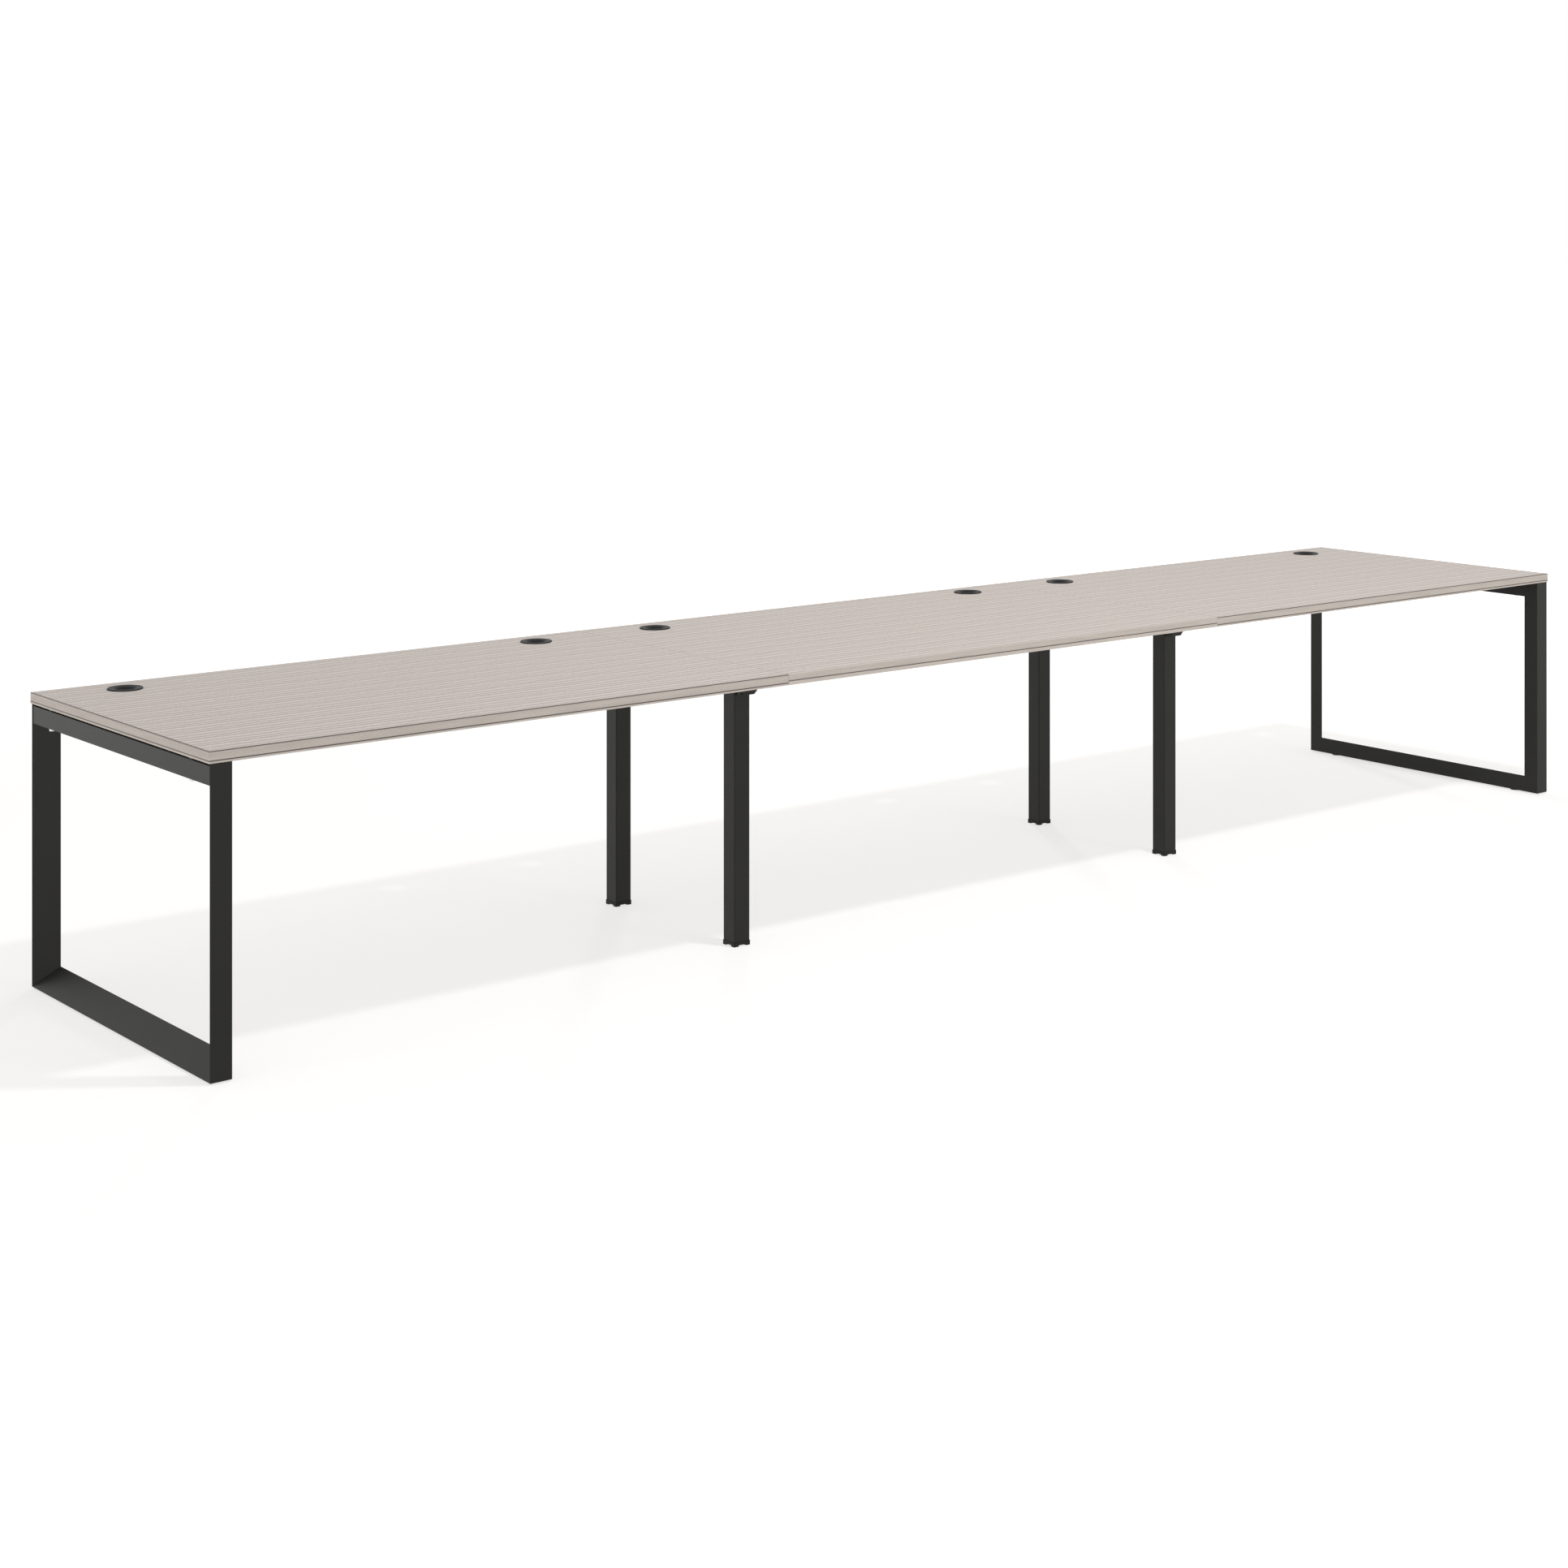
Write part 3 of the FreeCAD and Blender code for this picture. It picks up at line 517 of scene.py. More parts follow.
class NodeTree:
    """A Geometry Nodes tree being built, with named inputs."""

    def __init__(self, name: str, inputs: dict[str, str]) -> None:
        """Start a tree with its inputs.

        Args:
            name: Name of the tree.
            inputs: Type of socket for each input's name.
        """
        self.tree = bpy.data.node_groups.new(name, "GeometryNodeTree")
        face = self.tree.interface
        face.new_socket("Geometry", in_out="INPUT", socket_type="NodeSocketGeometry")
        for label, kind in inputs.items():
            face.new_socket(label, in_out="INPUT", socket_type=kind)
        face.new_socket("Geometry", in_out="OUTPUT", socket_type="NodeSocketGeometry")
        self.given = self.tree.nodes.new("NodeGroupInput").outputs

    def add(self, kind: str, inputs: dict[str | int, object], **settings: object) -> bpy.types.Node:
        """Add a node, set its properties and feed its inputs.

        Args:
            kind: Blender's name for the type of node.
            inputs: Constants or outputs by the input's name or number.
            settings: Properties of the node.

        Returns:
            The new node.
        """
        node = self.tree.nodes.new(kind)
        for key, value in settings.items():
            setattr(node, key, value)
        for key, value in inputs.items():
            if isinstance(value, Socket):
                self.tree.links.new(value, node.inputs[key])
            else:
                node.inputs[key].default_value = value
        return node

    def math(self, operation: str, *values: object) -> Socket:
        """Combine values in a Math node and give the result."""
        return self.add("ShaderNodeMath", dict(enumerate(values)), operation=operation).outputs[0]

    def vector(self, x: object = 0.0, y: object = 0.0, z: object = 0.0) -> Socket:
        """Combine three values into a vector."""
        return self.add("ShaderNodeCombineXYZ", {0: x, 1: y, 2: z}).outputs[0]

    def shift(self, shape: Socket, z: object, turn: float = 0.0) -> Socket:
        """Move a shape along Z and turn it about Z."""
        inputs = {"Geometry": shape, "Translation": self.vector(z=z), "Rotation": (0.0, 0.0, turn)}
        return self.add("GeometryNodeTransform", inputs).outputs[0]

    def join(self, *shapes: Socket) -> Socket:
        """Join shapes into one.

        Args:
            shapes: Geometry outputs.

        Returns:
            The joined geometry.
        """
        node = self.add("GeometryNodeJoinGeometry", {})
        for shape in shapes:
            self.tree.links.new(shape, node.inputs[0])
        return node.outputs[0]

    def cut(self, shape: Socket, tool: Socket, operation: str) -> Socket:
        """Cut a shape with a tool.

        Args:
            shape: Geometry that is cut.
            tool: Geometry that cuts it.
            operation: DIFFERENCE or INTERSECT.

        Returns:
            What is left.
        """
        node = self.add("GeometryNodeMeshBoolean", {}, operation=operation, solver="EXACT")
        first = "Mesh 1" if operation == "DIFFERENCE" else "Mesh 2"
        self.tree.links.new(shape, node.inputs[first])
        self.tree.links.new(tool, node.inputs["Mesh 2"])
        return node.outputs["Mesh"]

    def lathe(self, radius: object, start: object, end: object, outline: Outline) -> Socket:
        """Turn an outline about Z.

        Args:
            radius: Greatest radius.
            start: Level that the outline starts at.
            end: Level that it ends at.
            outline: Share of the height and share of the radius at each point.

        Returns:
            A closed round shape.
        """
        ends = {"Start": self.vector(z=start), "End": self.vector(z=end)}
        line = self.add("GeometryNodeCurvePrimitiveLine", ends)
        inputs = {"Curve": line.outputs[0], "Count": LATHE_STEPS}
        line = self.add("GeometryNodeResampleCurve", inputs)
        along = self.add("GeometryNodeSplineParameter", {}).outputs["Factor"]
        share = self.add("ShaderNodeFloatCurve", {"Value": along})
        points = share.mapping.curves[0].points
        points[0].location, points[1].location = outline[0], outline[-1]
        for spot in outline[1:-1]:
            points.new(*spot)
        share.mapping.update()
        inputs = {"Resolution": ROUND_SIDES, "Radius": radius}
        ring = self.add("GeometryNodeCurvePrimitiveCircle", inputs)
        return self.sweep(line.outputs[0], ring.outputs[0], share.outputs[0])

    def sweep(self, path: Socket, section: Socket, scale: object = 1.0) -> Socket:
        """Sweep a closed section along a path and close its ends.

        Args:
            path: Curve to follow.
            section: Closed curve.
            scale: Scale of the section along the path.

        Returns:
            A closed shape.
        """
        inputs = {"Curve": path, "Profile Curve": section, "Scale": scale, "Fill Caps": True}
        return self.add("GeometryNodeCurveToMesh", inputs).outputs[0]

    def rod(self, sides: int, radius: object, length: object, middle: object) -> Socket:
        """Upright prism about Z.

        Args:
            sides: Number of sides.
            radius: Radius to its corners.
            length: Length along Z.
            middle: Level of its middle.

        Returns:
            The prism.
        """
        inputs = {"Vertices": sides, "Radius": radius, "Depth": length}
        return self.shift(self.add("GeometryNodeMeshCylinder", inputs).outputs[0], middle)

    def finish(self, shape: Socket, seed: int | None = None) -> bpy.types.NodeTree:
        """Put the shape on every point of the object and end the tree.

        Args:
            shape: Geometry to repeat.
            seed: Seed for turning each copy about Z, if they differ.

        Returns:
            The finished tree.
        """
        points = self.add("GeometryNodeMeshToPoints", {"Mesh": self.given["Geometry"]})
        inputs = {"Points": points.outputs[0], "Instance": shape}
        copies = self.add("GeometryNodeInstanceOnPoints", inputs)
        if seed is not None:
            turn = self.add("FunctionNodeRandomValue", {"Seed": seed}, data_type="FLOAT")
            angle = self.math("MULTIPLY", turn.outputs[1], 2.0 * math.pi)
            self.tree.links.new(self.vector(z=angle), copies.inputs["Rotation"])
        solid = self.add("GeometryNodeRealizeInstances", {"Geometry": copies.outputs[0]})
        inputs = {"Geometry": solid.outputs[0], "Material": self.given["Material"]}
        dressed = self.add("GeometryNodeSetMaterial", inputs)
        output = self.tree.nodes.new("NodeGroupOutput")
        self.tree.links.new(dressed.outputs[0], output.inputs[0])
        return self.tree


def grow(
    name: str, spots: list[Vector], tree: bpy.types.NodeTree, values: dict[str, object]
) -> bpy.types.Object:
    """Grow a piece from points with a Geometry Nodes tree, and make it a plain mesh.

    Args:
        name: Name of the piece.
        spots: Points that the tree works on, in the model's frame.
        tree: Geometry Nodes tree.
        values: Input values by name.

    Returns:
        The piece, with no modifier left on it.
    """
    seeds = bpy.data.meshes.new(f"{name}_points")
    seeds.from_pydata([tuple(spot) for spot in spots], [], [])
    piece = bpy.data.objects.new(name, seeds)
    bpy.context.scene.collection.objects.link(piece)
    modifier = piece.modifiers.new("growth", "NODES")
    modifier.node_group = tree
    for item in tree.interface.items_tree:
        if item.in_out == "INPUT" and item.name in values:
            modifier[item.identifier] = values[item.name]
    grown = piece.evaluated_get(bpy.context.evaluated_depsgraph_get())
    mesh = bpy.data.meshes.new_from_object(grown)
    piece.modifiers.clear()
    piece.data = mesh
    shell = bmesh.new()
    shell.from_mesh(mesh)
    bmesh.ops.remove_doubles(shell, verts=shell.verts, dist=WELD_REACH)
    bmesh.ops.recalc_face_normals(shell, faces=shell.faces)
    shell.to_mesh(mesh)
    shell.free()
    mesh.shade_smooth()
    mesh.set_sharp_from_angle(angle=SHARP_ANGLE)
    return piece


def middles(node: str, reach: float, level: float) -> list[Vector]:
    """Find the separate solids of a CAD node in plan.

    Args:
        node: Name of the node.
        reach: Distance within which vertices belong to one solid.
        level: Level that the middles are given at.

    Returns:
        Middle of each solid, from left to right.
    """
    groups: list[list[Vector]] = []
    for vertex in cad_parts[node].data.vertices:
        spot = Vector(vertex.co)
        near = next((group for group in groups if (group[0] - spot).xy.length < reach), None)
        if near is None:
            groups.append([spot])
        else:
            near.append(spot)
    found = []
    for group in groups:
        xs, ys = [spot.x for spot in group], [spot.y for spot in group]
        found.append(Vector(((min(xs) + max(xs)) / 2.0, (min(ys) + max(ys)) / 2.0, level)))
    return sorted(found, key=lambda spot: (round(spot.x, 4), round(spot.y, 4)))


def dress(names: list[str], finish: bpy.types.Material) -> None:
    """Give CAD nodes a finish.

    Args:
        names: Names of the nodes.
        finish: Material for all of them.
    """
    for name in names:
        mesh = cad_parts[name].data
        mesh.materials.clear()
        mesh.materials.append(finish)
        log.info("dressed %s in %s", name, finish.name)


@dataclass
class Fastener:
    """A row of equal fasteners whose heads hang below what they hold."""

    # Outlines by shares of the head's height and radius, from its seat to its face.
    CHAMFER: ClassVar[Outline] = ((0.0, 1.0), (0.55, 1.0), (1.0, 0.80))
    CROWN: ClassVar[Outline] = ((0.0, 1.0), (0.30, 1.0), (0.62, 0.93), (0.85, 0.78), (1.0, 0.58))
    # Middles of the recess tools in head heights, a cross bar's width in recess radii, and
    # the reach of one fastener in head radii.
    SOCKET_LEVEL: ClassVar[float] = -0.95
    CROSS_LEVEL: ClassVar[float] = -0.90
    CROSS_SLIM: ClassVar[float] = 0.45
    OWN_REACH: ClassVar[float] = 4.0

    node: str
    drive: Drive
    head_radius: float
    head_height: float
    shank_radius: float
    recess: float
    seed: int

    def head(self, tree: NodeTree) -> Socket:
        """Shape the head, with its seat at level 0 and its face below.

        Args:
            tree: Tree that gets the nodes.

        Returns:
            The head.
        """
        radius, height = tree.given["Head radius"], tree.given["Head height"]
        down = tree.math("MULTIPLY", height, -1.0)
        if self.drive is Drive.OUTER_HEX:
            prism = tree.rod(HEXAGON, radius, height, tree.math("MULTIPLY", height, -0.5))
            cone = tree.lathe(radius, 0.0, down, self.CHAMFER)
            return tree.cut(prism, cone, "INTERSECT")
        body = tree.lathe(radius, 0.0, down, self.CROWN)
        if self.drive is Drive.HEX_SOCKET:
            level = tree.math("MULTIPLY", height, self.SOCKET_LEVEL)
            socket = tree.rod(HEXAGON, tree.given["Recess"], height, level)
            return tree.cut(body, socket, "DIFFERENCE")
        wide = tree.math("MULTIPLY", tree.given["Recess"], 2.0)
        slim = tree.math("MULTIPLY", tree.given["Recess"], self.CROSS_SLIM)
        bar = tree.add("GeometryNodeMeshCube", {"Size": tree.vector(wide, slim, height)}).outputs[0]
        bar = tree.shift(bar, tree.math("MULTIPLY", height, self.CROSS_LEVEL))
        body = tree.cut(body, bar, "DIFFERENCE")
        return tree.cut(body, tree.shift(bar, 0.0, math.pi / 2.0), "DIFFERENCE")

    def build(self, finish: bpy.types.Material) -> None:
        """Build all fasteners of the row as one piece that stands for the CAD node.

        Args:
            finish: Material of the fasteners.
        """
        sizes = ("Head radius", "Head height", "Shank radius", "Shank length", "Recess")
        inputs = {name: "NodeSocketFloat" for name in sizes} | {"Material": "NodeSocketMaterial"}
        tree = NodeTree(f"{self.node}_tree", inputs)
        length = tree.given["Shank length"]
        middle = tree.math("MULTIPLY", length, 0.5)
        shank = tree.rod(SHANK_SIDES, tree.given["Shank radius"], length, middle)
        nodes = tree.finish(tree.join(self.head(tree), shank), self.seed)
        low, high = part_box(self.node)
        seat = low[2] + self.head_height
        spots = middles(self.node, self.OWN_REACH * self.head_radius, seat)
        head = (self.head_radius, self.head_height)
        numbers = (*head, self.shank_radius, high[2] - seat, self.recess)
        values = dict(zip(sizes, numbers)) | {"Material": finish}
        piece = grow(f"{self.node}_turned", spots, nodes, values)
        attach(piece, "bench")
        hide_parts(self.node)
        log.info("built %s: %d fasteners, %s", piece.name, len(spots), self.drive.value)


@dataclass
class StudThread:
    """Thread ridge round the upright stud of a glide or a foot."""

    pad_height: float
    stud_radius: float
    pitch: float
    ridge: float

    def tree(self) -> bpy.types.NodeTree:
        """Build the tree that winds a ridge upwards from a point.

        Returns:
            The finished tree.
        """
        sizes = {name: "NodeSocketFloat" for name in ("Radius", "Pitch", "Length", "Ridge")}
        tree = NodeTree("stud_thread_tree", sizes | {"Material": "NodeSocketMaterial"})
        turns = tree.math("DIVIDE", tree.given["Length"], tree.given["Pitch"])
        helix = tree.add("GeometryNodeCurveSpiral", {
            "Resolution": RIDGE_STEPS,
            "Rotations": turns,
            "Start Radius": tree.given["Radius"],
            "End Radius": tree.given["Radius"],
            "Height": tree.given["Length"],
        })
        upright = tree.add("GeometryNodeSetCurveNormal", {"Curve": helix.outputs[0]}, mode="Z_UP")
        inputs = {"Resolution": RIDGE_SIDES, "Radius": tree.given["Ridge"]}
        ring = tree.add("GeometryNodeCurvePrimitiveCircle", inputs)
        return tree.finish(tree.sweep(upright.outputs[0], ring.outputs[0]))

    def build(self, body: str, finish: bpy.types.Material) -> None:
        """Wind the thread round one body's stud.

        Args:
            body: Name of the body, and of its only node.
            finish: Material of the thread.
        """
        low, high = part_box(body)
        foot = low[2] + self.pad_height + self.pitch
        spot = Vector(((low[0] + high[0]) / 2.0, (low[1] + high[1]) / 2.0, foot))
        values = {
            "Radius": self.stud_radius,
            "Pitch": self.pitch,
            "Length": high[2] - self.pitch - foot,
            "Ridge": self.ridge,
            "Material": finish,
        }
        piece = grow(f"{body}_thread", [spot], self.tree(), values)
        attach(piece, body)
        log.info("built %s on %s", piece.name, body)


@dataclass
class Worktops:
    """Three boards and the edging round each of them."""

    face_height: float = 0.735
    upper_line: float = 0.0010
    lower_line: float = 0.0220
    middle_line: float = 0.0170
    half_line: float = 0.0020
    outer_phases: Waves = (-130.0, -6.0, -140.0, -95.0)
    middle_phases: Waves = (-92.0, -70.0, -156.0, -95.0)
    upper_share: float = 0.85
    lower_share: float = 0.92
    middle_share: float = 0.85

    def lines(self, bay: Bay) -> tuple[EdgeLine, ...]:
        """Dark lines of one worktop's edging.

        Args:
            bay: Which worktop.

        Returns:
            The lines, from the top down.
        """
        face, half = self.face_height, self.half_line
        if bay is Bay.MIDDLE:
            return (EdgeLine(face - self.middle_line, half, self.middle_share),)
        return (
            EdgeLine(face - self.upper_line, half, self.upper_share),
            EdgeLine(face - self.lower_line, half, self.lower_share),
        )

    def dress(self) -> None:
        """Give the boards their laminate and each edging its lines."""
        for bay in Bay:
            phases = self.middle_phases if bay is Bay.MIDDLE else self.outer_phases
            dress([f"worktop_{bay.value}"], LaminateFinish(bay, phases).build())
            dress([f"edging_{bay.value}"], EdgingFinish(bay, self.lines(bay)).build())


@dataclass
class CablePorts:
    """Six round ports, each a collar in the worktop with a loose insert."""

    count: int = 6
    plastic: MouldedPlasticFinish = MouldedPlasticFinish(
        "port_satin_plastic", (0.0075, 0.0075, 0.0077), (0.013, 0.013, 0.0133), 0.56, 1.36
    )

    def dress(self) -> None:
        """Give the collars and the inserts satin black plastic."""
        plastic = self.plastic.build()
        for kind in ("sleeve", "insert"):
            dress([f"port_{kind}_{number}" for number in range(1, self.count + 1)], plastic)


@dataclass
class EndFrames:
    """Two loops of triangular tube with a rail across the top, bolted up to the worktops."""

    bolt_across_flats: float = 0.013
    bolt_head_height: float = 0.0053
    bolt_radius: float = 0.004
    bolt_seed: int = 3
    spacer: MouldedPlasticFinish = MouldedPlasticFinish(
        "spacer_grey_plastic", (0.60, 0.58, 0.55), (0.66, 0.64, 0.61), 0.5
    )

    def dress(self, paint: bpy.types.Material, zinc: bpy.types.Material) -> None:
        """Paint the tubes, and finish the spacers and washers.

        Args:
            paint: Material of the tubes.
            zinc: Material of the washers.
        """
        tubes = ("front_upright", "rear_upright", "floor_bar", "top_rail")
        dress([f"{side.value}_frame_{tube}" for side in Side for tube in tubes], paint)
        dress(["frame_spacers"], self.spacer.build())
        dress(["frame_washers"], zinc)

    def build(self, zinc: bpy.types.Material) -> None:
        """Build the hexagon bolts that come up through the rails.

        Args:
            zinc: Material of the bolts.
        """
        head_radius = self.bolt_across_flats / math.sqrt(3.0)
        Fastener(
            "frame_bolts", Drive.OUTER_HEX, head_radius, self.bolt_head_height,
            self.bolt_radius, 0.0, self.bolt_seed,
        ).build(zinc)


@dataclass
class PostPairs:
    """Two pairs of square posts with a cross rail, plugs, sockets and folded brackets."""

    screw_head_radius: float = 0.0045
    screw_head_height: float = 0.0026
    screw_radius: float = 0.00225
    screw_recess: float = 0.0025
    screw_seed: int = 5
    inner: MouldedPlasticFinish = MouldedPlasticFinish(
        "inner_black_plastic", (0.012, 0.012, 0.012), (0.02, 0.02, 0.02), 0.5
    )

    def dress(self, paint: bpy.types.Material, inner: bpy.types.Material) -> None:
        """Paint the steel, and finish the plastic in the posts' ends.

        Args:
            paint: Material of the posts, rails and brackets.
            inner: Material of the plugs and sockets.
        """
        for side in Side:
            dress([f"{side.value}_post_{row.value}" for row in Row], paint)
            dress([f"{side.value}_bracket_{row.value}" for row in Row], paint)
            dress([f"{side.value}_cross_rail"], paint)
        dress(["post_top_plugs", "foot_sockets"], inner)

    def build(self, zinc: bpy.types.Material) -> None:
        """Build the wood screws that come up through the brackets.

        Args:
            zinc: Material of the screws.
        """
        Fastener(
            "bracket_screws", Drive.CROSS, self.screw_head_radius, self.screw_head_height,
            self.screw_radius, self.screw_recess, self.screw_seed,
        ).build(zinc)


@dataclass
class Beams:
    """Six long beams under the worktops, pushed onto spigots and locked by a screw at each end."""

    lock_head_radius: float = 0.0065
    lock_head_height: float = 0.0035
    lock_radius: float = 0.004
    lock_socket: float = 0.0029
    lock_seed: int = 8

    def dress(self, paint: bpy.types.Material, zinc: bpy.types.Material) -> None:
        """Paint the beams and plate the spigots.

        Args:
            paint: Material of the beams.
            zinc: Material of the spigots.
        """
        dress([f"beam_{bay.value}_{row.value}" for bay in Bay for row in Row], paint)
        dress(["beam_spigots"], zinc)

    def build(self, zinc: bpy.types.Material) -> None:
        """Build the locking screws below the beams.

        Args:
            zinc: Material of the screws.
        """
        Fastener(
            "beam_screws", Drive.HEX_SOCKET, self.lock_head_radius, self.lock_head_height,
            self.lock_radius, self.lock_socket, self.lock_seed,
        ).build(zinc)


@dataclass
class LevellingStuds:
    """Round glides under the end frames and square feet under the posts, on threaded studs."""

    glide_height: float = 0.004
    glide_stud_radius: float = 0.00395
    foot_height: float = 0.0115
    foot_stud_radius: float = 0.00495
    glide_pitch: float = 0.00125
    foot_pitch: float = 0.0015
    ridge: float = 0.00022
    plastic: MouldedPlasticFinish = MouldedPlasticFinish(
        "foot_black_plastic", (0.0046, 0.0046, 0.0043), (0.009, 0.009, 0.0086), 0.45, 1.33
    )

    def dress(self, plastic: bpy.types.Material, zinc: bpy.types.Material) -> None:
        """Finish the glides, feet and nuts.

        Args:
            plastic: Material of the glides and feet.
            zinc: Material of the nuts in the floor bars.
        """
        for side in Side:
            dress([f"glide_{side.value}_{row.value}" for row in Row], plastic)
            dress([f"foot_{side.value}_{row.value}" for row in Row], plastic)
        dress(["glide_nuts"], zinc)

    def build(self, plastic: bpy.types.Material) -> None:
        """Wind a thread round each stud.

        Args:
            plastic: Material of the threads.
        """
        glide = StudThread(self.glide_height, self.glide_stud_radius, self.glide_pitch, self.ridge)
        foot = StudThread(self.foot_height, self.foot_stud_radius, self.foot_pitch, self.ridge)
        for side in Side:
            for row in Row:
                glide.build(f"glide_{side.value}_{row.value}", plastic)
                foot.build(f"foot_{side.value}_{row.value}", plastic)


@dataclass(frozen=True)
class FloorFinish:
    """White floor that keeps a pale shadow near the bench and fades into the background."""

    glow: float = 0.672
    catch: float = 0.42
    bounce: float = 0.85
    tint: Colour = (1.0, 0.990, 0.970)
    near: float = 3.2
    far: float = 7.0

    def build(self) -> bpy.types.Material:
        """Build the floor's material.

        Returns:
            The material.
        """
        graph = ShaderGraph("studio_floor")
        tree, links = graph.tree, graph.tree.links
        length = graph.add("ShaderNodeVectorMath", operation="LENGTH")
        graph.feed(length.inputs[0], graph.place)
        away = graph.spread(length.outputs["Value"], self.near, self.far, self.glow, 1.0)
        glow = graph.add("ShaderNodeEmission")
        glow.inputs["Color"].default_value = (*self.tint, 1.0)
        graph.feed(glow.inputs["Strength"], away)
        catch = graph.add("ShaderNodeBsdfDiffuse")
        catch.inputs["Color"].default_value = (self.catch, self.catch, self.catch, 1.0)
        seen = graph.add("ShaderNodeAddShader")
        links.new(glow.outputs[0], seen.inputs[0])
        links.new(catch.outputs[0], seen.inputs[1])
        bounce = graph.add("ShaderNodeBsdfDiffuse")
        bounce.inputs["Color"].default_value = (self.bounce, self.bounce, self.bounce, 1.0)
        rays = graph.add("ShaderNodeLightPath")
        direct = graph.math("MAXIMUM", rays.outputs["Is Camera Ray"], rays.outputs["Is Glossy Ray"])
        direct = graph.math("MAXIMUM", direct, rays.outputs["Is Transmission Ray"])
        front = graph.add("ShaderNodeMixShader")
        links.new(direct, front.inputs[0])
        links.new(bounce.outputs[0], front.inputs[1])
        links.new(seen.outputs[0], front.inputs[2])
        clear = graph.add("ShaderNodeBsdfTransparent")
        side = graph.add("ShaderNodeNewGeometry")
        both = graph.add("ShaderNodeMixShader")
        links.new(side.outputs["Backfacing"], both.inputs[0])
        links.new(front.outputs[0], both.inputs[1])
        links.new(clear.outputs[0], both.inputs[2])
        output = next(node for node in tree.nodes if node.type == "OUTPUT_MATERIAL")
        links.new(both.outputs[0], output.inputs["Surface"])
        tree.nodes.remove(graph.surface)
        return graph.material


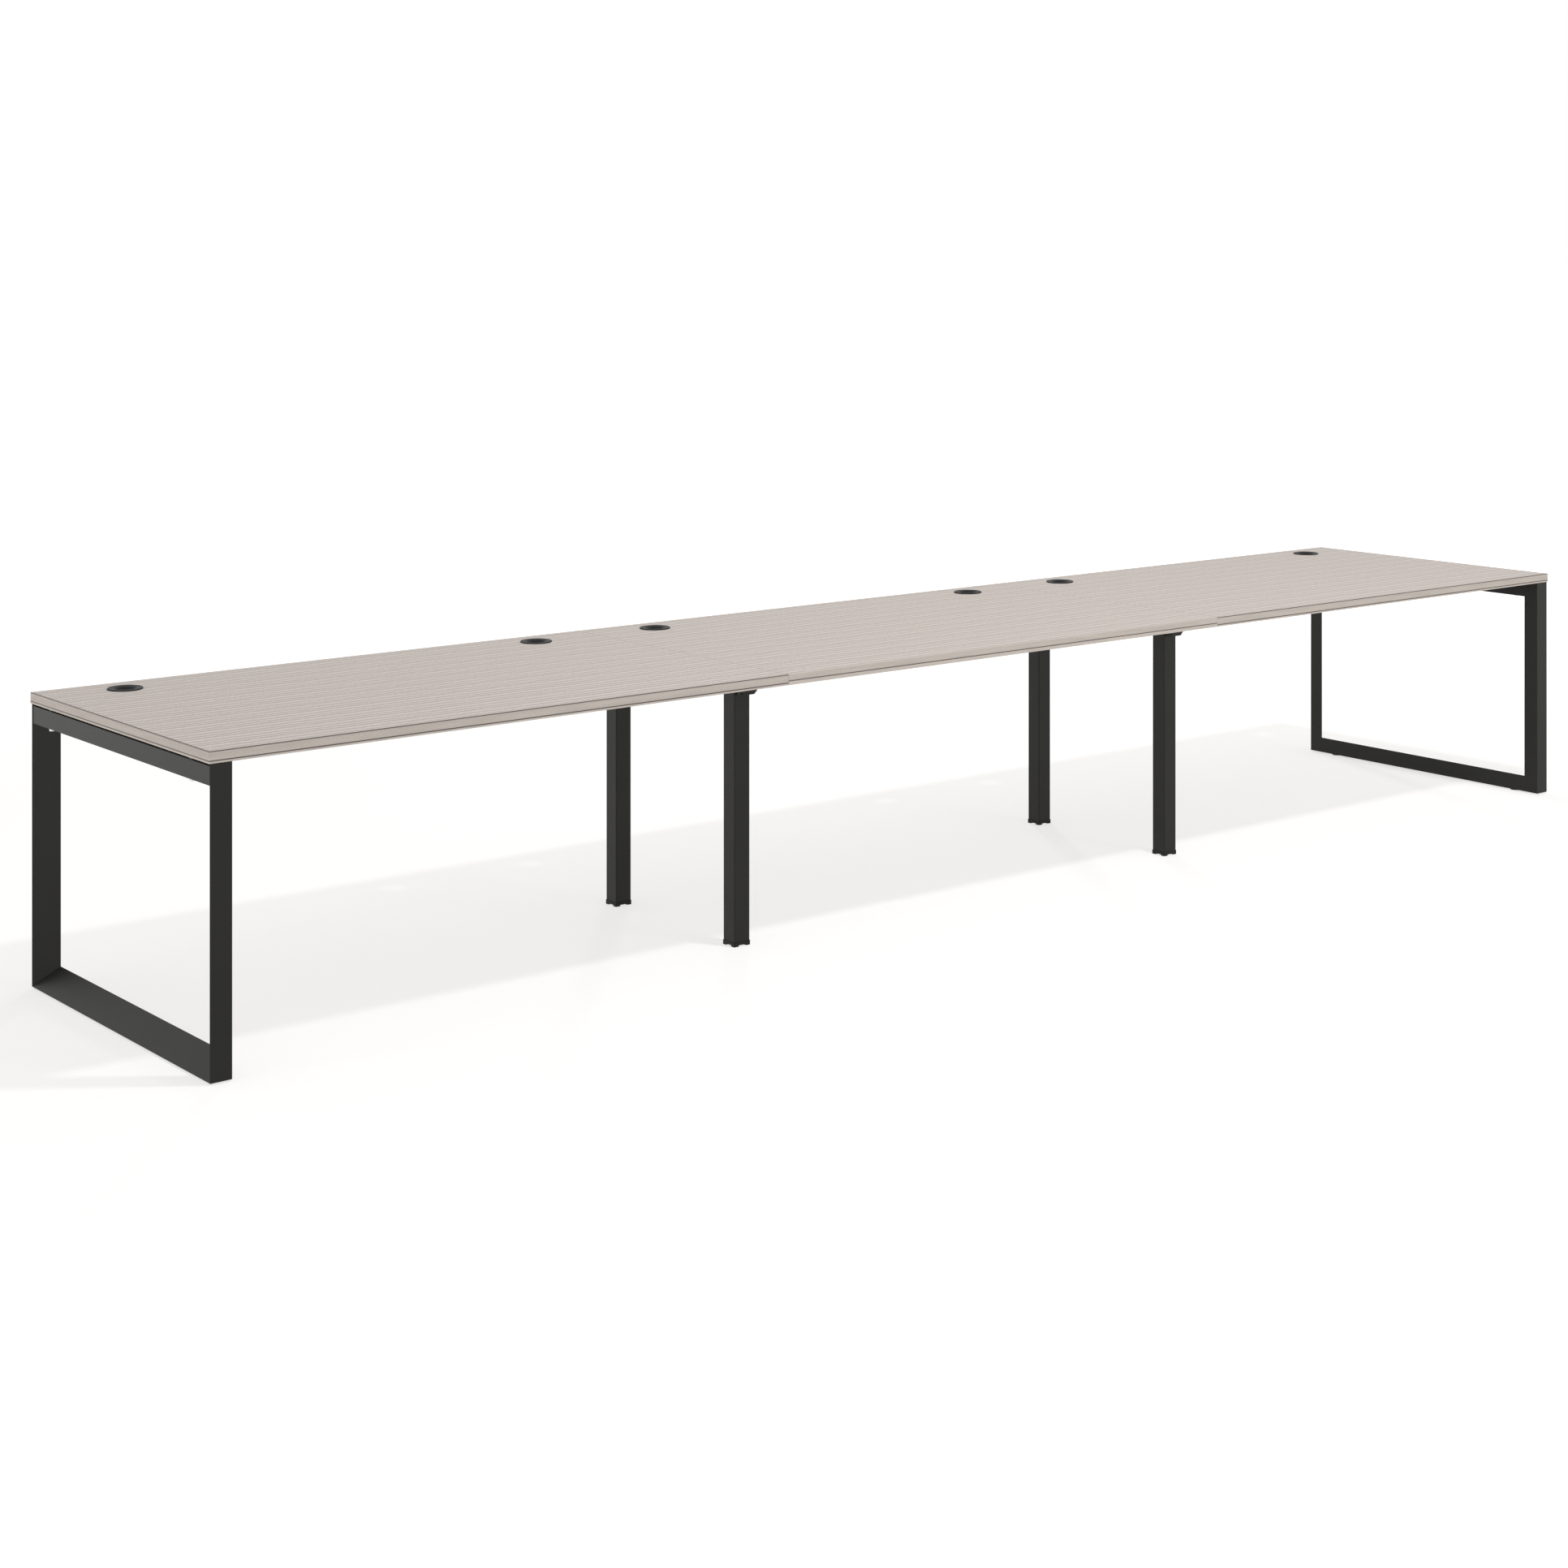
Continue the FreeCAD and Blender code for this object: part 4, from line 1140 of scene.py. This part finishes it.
@dataclass
class Studio:
    """White surround, four lamps, the floor and the camera of the photograph."""

    sky_light: float = 0.53
    key_place: Triple = (0.44, -2.64, 5.80)
    key_power: float = 520.0
    key_radius: float = 0.225
    back_place: Triple = (4.40, 6.60, 3.20)
    back_power: float = 500.0
    back_radius: float = 0.30
    left_place: Triple = (-9.00, -0.20, 0.95)
    left_power: float = 440.0
    front_place: Triple = (2.50, -9.00, 2.00)
    front_power: float = 500.0
    fill_radius: float = 1.20
    floor_reach: float = 60.0
    camera_place: Triple = (-5.0024, -5.9891, 1.8677)
    camera_turn: float = -0.7004
    lens: float = 61.436
    shift: tuple[float, float] = (-0.0832, -0.3498)

    def light_surround(self) -> None:
        """Make the surround white to look at, and softer as a light."""
        world = bpy.data.worlds.new("studio_surround")
        bpy.context.scene.world = world
        world.use_nodes = True
        tree = world.node_tree
        rays = tree.nodes.new("ShaderNodeLightPath")
        seen = rays.outputs["Is Camera Ray"]
        for name in ("Is Glossy Ray", "Is Transmission Ray"):
            either = tree.nodes.new("ShaderNodeMath")
            either.operation = "MAXIMUM"
            tree.links.new(seen, either.inputs[0])
            tree.links.new(rays.outputs[name], either.inputs[1])
            seen = either.outputs[0]
        level = tree.nodes.new("ShaderNodeMapRange")
        level.inputs["To Min"].default_value = self.sky_light
        level.inputs["To Max"].default_value = 1.0
        tree.links.new(seen, level.inputs["Value"])
        background = tree.nodes["Background"]
        background.inputs["Color"].default_value = (1.0, 1.0, 1.0, 1.0)
        tree.links.new(level.outputs["Result"], background.inputs["Strength"])

    def add_lamp(self, name: str, place: Triple, power: float, radius: float) -> None:
        """Add a soft point lamp.

        Args:
            name: Name of the lamp.
            place: Where it hangs.
            power: Power in watts.
            radius: Radius of its bulb.
        """
        lamp = bpy.data.lights.new(name, "POINT")
        lamp.energy = power
        lamp.shadow_soft_size = radius
        holder = bpy.data.objects.new(name, lamp)
        holder.location = place
        holder.visible_glossy = False
        bpy.context.scene.collection.objects.link(holder)

    def lay_floor(self) -> None:
        """Lay the floor under the bench."""
        reach = self.floor_reach
        mesh = bpy.data.meshes.new("studio_floor")
        turns = ((-1.0, -1.0), (1.0, -1.0), (1.0, 1.0), (-1.0, 1.0))
        corners = [(x * reach, y * reach, 0.0) for x, y in turns]
        mesh.from_pydata(corners, [], [(0, 1, 2, 3)])
        mesh.materials.append(FloorFinish().build())
        floor = bpy.data.objects.new("studio_floor", mesh)
        bpy.context.scene.collection.objects.link(floor)

    def set_camera(self) -> None:
        """Put the camera where the photograph was taken from, level, with its lens shifted."""
        camera = bpy.data.cameras.new("studio_camera")
        camera.lens = self.lens
        camera.shift_x, camera.shift_y = self.shift
        holder = bpy.data.objects.new("studio_camera", camera)
        holder.location = self.camera_place
        holder.rotation_euler = (math.pi / 2.0, 0.0, self.camera_turn)
        bpy.context.scene.collection.objects.link(holder)
        bpy.context.scene.camera = holder

    def build(self) -> None:
        """Set up the whole studio."""
        bpy.context.scene.view_settings.view_transform = "Standard"
        self.light_surround()
        self.add_lamp("key_lamp", self.key_place, self.key_power, self.key_radius)
        self.add_lamp("back_lamp", self.back_place, self.back_power, self.back_radius)
        self.add_lamp("left_lamp", self.left_place, self.left_power, self.fill_radius)
        self.add_lamp("front_lamp", self.front_place, self.front_power, self.fill_radius)
        self.lay_floor()
        self.set_camera()
        log.info("studio ready")


def main() -> None:
    """Dress the CAD nodes, build the fixings and set up the studio."""
    logging.basicConfig(level=logging.INFO, format="%(name)s: %(message)s")
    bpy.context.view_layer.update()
    frames, posts, beams, studs = EndFrames(), PostPairs(), Beams(), LevellingStuds()
    paint, zinc = PowderCoatFinish().build(), ZincFinish().build()
    foot, inner = studs.plastic.build(), posts.inner.build()
    Worktops().dress()
    CablePorts().dress()
    frames.dress(paint, zinc)
    posts.dress(paint, inner)
    beams.dress(paint, zinc)
    studs.dress(foot, zinc)
    frames.build(zinc)
    posts.build(zinc)
    beams.build(zinc)
    studs.build(foot)
    Studio().build()


if __name__ == "__main__":
    main()
